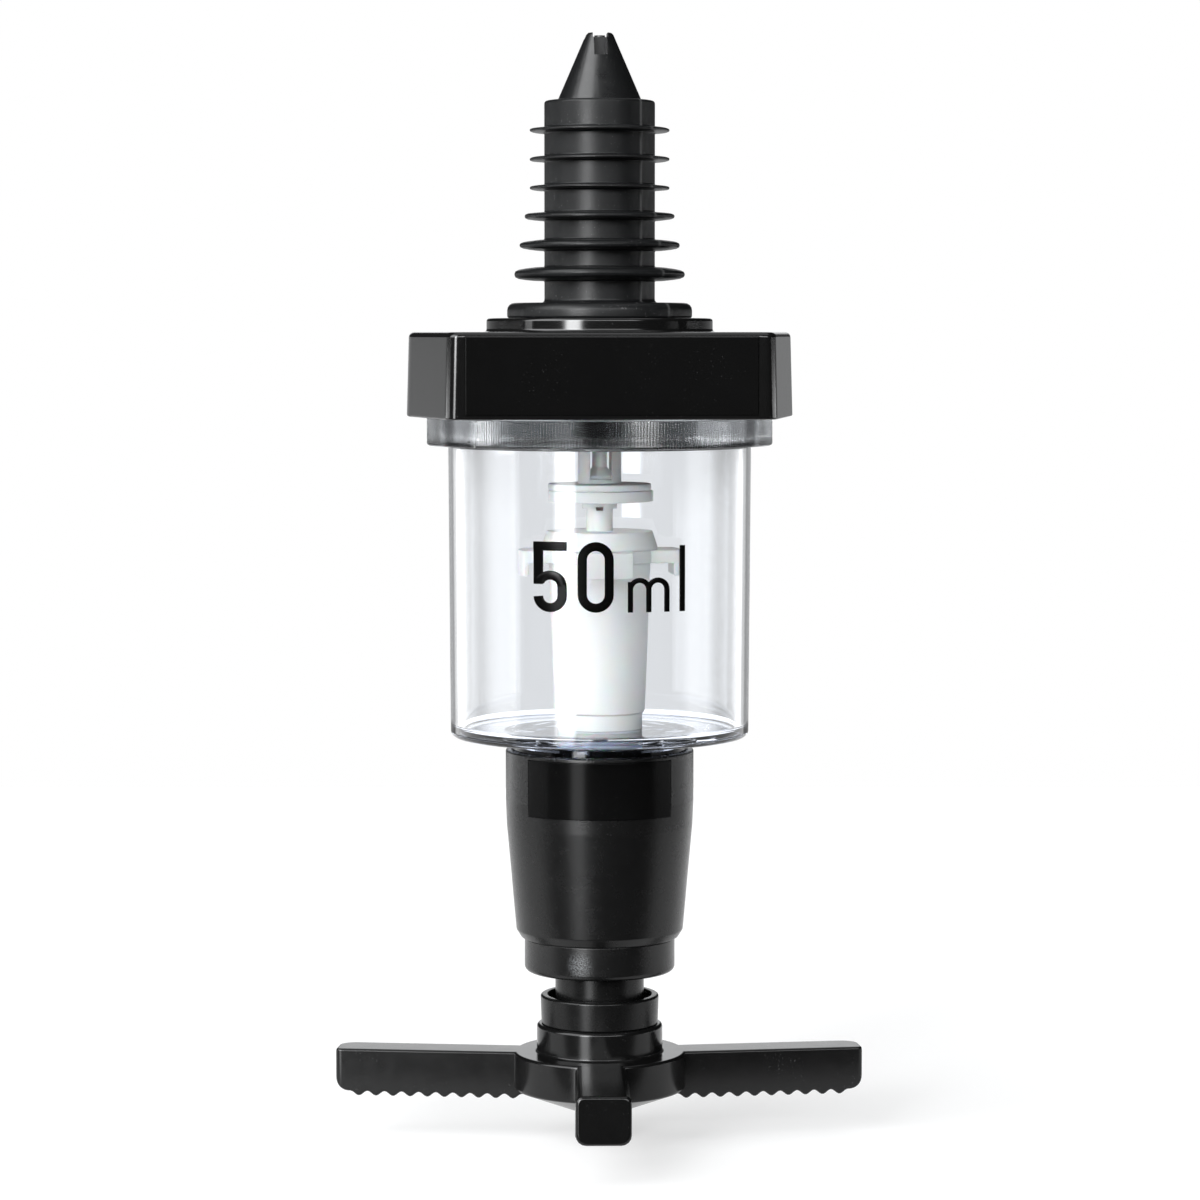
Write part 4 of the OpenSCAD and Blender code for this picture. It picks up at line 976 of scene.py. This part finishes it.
# %% Cup
CUP_R = 9.55
INNER_R = 8.3
cup = turned([
    (HUB_BORE, cup_foot, 0), (8.6, cup_foot, 0.1), (8.6, hub_top + SEAT, 0),
    (CUP_R - 0.15, hub_top + SEAT, 0.2), (CUP_R, cup_top, 0.4), (INNER_R, cup_top, 0.3),
    (INNER_R, hub_top + 2.4, 0.3), (HUB_BORE, hub_top + 2.0, 0)], 144)
piece("hub_cup", cup, NYLON, "lever", "crossbar_cup")

# %% [markdown]
# ## Pieces left as the CAD made them
# Seals, bushes, the spring and the foot of the stem hardly show, and their CAD shapes are
# right. They only take their finishes.

# %% Finishes of the carried-over pieces
kept = {
    STEEL: ["return_spring", "foot_clip"],
    SEAL: ["cap_gasket", "inlet_seat_washer", "outlet_seat_washer", "spigot_o_ring",
           "neck_o_ring", "outlet_plug"],
    WHITE: ["guide_bush", "spring_seat", "swivel_foot"],
    TUBE: ["breather_tube"],
}
for material, nodes in kept.items():
    for node in nodes:
        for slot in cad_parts[node].material_slots:
            slot.material = material
print("carried-over pieces:", sum(len(nodes) for nodes in kept.values()))

# %% [markdown]
# ## Studio
# The object stands on a white table before a white wall. A tall key light stands at the left
# front and a smaller fill straight ahead, with a narrow strip between them and lower down,
# which draws one soft line down the satin pieces. Two low panels at the sides light the flanks
# and put veils on the clear chamber, and a bright line over each draws the cap's corners. Below
# eye level the rest of the room is dark, and the table ends just before the object, so that
# gloss black stays deep. The world holds all of this by direction, which gives soft light with
# little noise, and the camera itself sees plain white.
# The wall stands only behind the object as this camera sees it, so from other sides the clear
# chamber shows the dark room.

# %% World
world = bpy.data.worlds.new("studio")
scene.world = world
world.use_nodes = True
start = Wire(world.node_tree)
x, y, z = start.node("TexCoord", output="Generated").parts()
bearing = start.math("ARCTAN2", x, 0 - y)  # from the camera's side, to the right
away = start.math("ABSOLUTE", bearing)
leftward = 0 - bearing
DEG = math.pi / 180


def band(value, low, rise, high, fall):
    """1 between low and high, with soft flanks outside of them."""
    return value.step(low - rise, low) * (1 - value.step(high, high + fall))


KEY_LEVEL = 5.9
FILL_LEVEL = 6.2
STRIP_LEVEL = 7.0
STRIP_RISE = 16.0
BOX_LEVEL = 1.9
BOX_LOW = 0.16
LINE_LEVEL = 9.0
HAZE_RIGHT = 0.31
HAZE_LEFT = 0.38
BACK_LEVEL = 0.86
BACK_RISE = 0.42
TOP_LEVEL = 1.0
ROOM_LEVEL = 0.02
key = band(leftward, 24 * DEG, 8 * DEG, 80 * DEG, 8 * DEG) * band(z, 0.20, 0.08, 0.80, 0.06)
fill = band(bearing, -30 * DEG, 8 * DEG, 35 * DEG, 12 * DEG) * band(z, 0.24, 0.08, 0.44, 0.07)
strip = band(leftward, 21 * DEG, 4 * DEG, 32 * DEG, 5 * DEG) * band(z, -0.25, 0.1, 0.30, 0.2)
strip_level = STRIP_LEVEL + STRIP_RISE * z.step(0.004, 0.02)
sides = leftward.step(66 * DEG, 67 * DEG) + 0.7 * bearing.step(68 * DEG, 74 * DEG)
sides = sides * (1 - away.step(144 * DEG, 152 * DEG)) * band(z, -0.45, 0.15, -0.042, 0.02)
side_level = BOX_LEVEL * (BOX_LOW + (1 - BOX_LOW) * z.step(-0.135, -0.115))
lines = band(away, 76 * DEG, 4 * DEG, 120 * DEG, 4 * DEG) * band(z, -0.015, 0.003, -0.002, 0.005)
haze = band(away, 130 * DEG, 14 * DEG, 168 * DEG, 4 * DEG) * band(z, -0.1, 0.05, 0.01, 0.04)
wall = away.step(168 * DEG, 175 * DEG) * (1 - z.step(0.6, 0.75))
wall_level = BACK_LEVEL + BACK_RISE * z.step(0.02, 0.14)
light = ROOM_LEVEL + KEY_LEVEL * key + FILL_LEVEL * fill + strip * strip_level
haze_level = HAZE_RIGHT + (HAZE_LEFT - HAZE_RIGHT) * leftward.step(0, DEG)
light = light + sides * side_level + LINE_LEVEL * lines + haze * haze_level
light = light + wall * wall_level + TOP_LEVEL * z.step(0.80, 0.92)
path = start.node("LightPath").socket.node
seen = Wire(world.node_tree, path.outputs["Is Camera Ray"])
strength = light * (1 - seen) + seen
background = world.node_tree.nodes["Background"]
tint = seen.mixed((0.98, 0.99, 1.0, 1), (1, 1, 1, 1))
world.node_tree.links.new(tint.socket, background.inputs["Color"])
world.node_tree.links.new(strength.socket, background.inputs["Strength"])
print("studio lights are set by direction")

# %% Floor
floor_level = levels("crossbar")[0]
TABLE_HALF, TABLE_FRONT, TABLE_BACK = 260, -45, 460
floor_mesh = bmesh.new()
bmesh.ops.create_grid(floor_mesh, x_segments=1, y_segments=1, size=0.5 * MM)
bmesh.ops.scale(floor_mesh, verts=floor_mesh.verts,
                vec=(2 * TABLE_HALF, TABLE_BACK - TABLE_FRONT, 1))
bmesh.ops.translate(floor_mesh, verts=floor_mesh.verts,
                    vec=Vector((0, (TABLE_BACK + TABLE_FRONT) / 2, floor_level)) * MM)
mesh = bpy.data.meshes.new("floor")
floor_mesh.to_mesh(mesh)
floor_mesh.free()
floor = bpy.data.objects.new("floor", mesh)
scene.collection.objects.link(floor)
PAPER, shader, spot = finish("paper", {"Base Color": grey(0.40), "Roughness": 0.7,
                                       "Emission Color": grey(1.0)})
path = spot.node("LightPath").socket.node
rays = [Wire(spot.tree, path.outputs[f"Is {kind} Ray"])
        for kind in ("Camera", "Glossy", "Transmission")]
GLOW = 0.56
feed(shader, "Emission Strength", GLOW * (rays[0] + rays[1] + rays[2]))
mesh.materials.append(PAPER)

# %% [markdown]
# ## Camera
# The photograph was taken with a long lens from just above the chamber, looking down a little.

# %% Camera
LENS = 110.7
CAMERA_X, CAMERA_Y = 0.00006, -0.5904
PITCH = math.radians(4.154)
camera_data = bpy.data.cameras.new("camera")
camera_data.sensor_width = 36
camera_data.lens = LENS
camera_data.clip_start = 0.01
camera_data.clip_end = 20
camera = bpy.data.objects.new("camera", camera_data)
camera.location = (CAMERA_X, CAMERA_Y, cap_top * MM)
camera.rotation_euler = (math.pi / 2 - PITCH, 0, 0)
scene.collection.objects.link(camera)
scene.camera = camera
scene.view_settings.view_transform = "Standard"

# %% Count the pieces and faces
print("pieces:", len(pieces), "faces:", sum(len(o.data.polygons) for o in pieces))
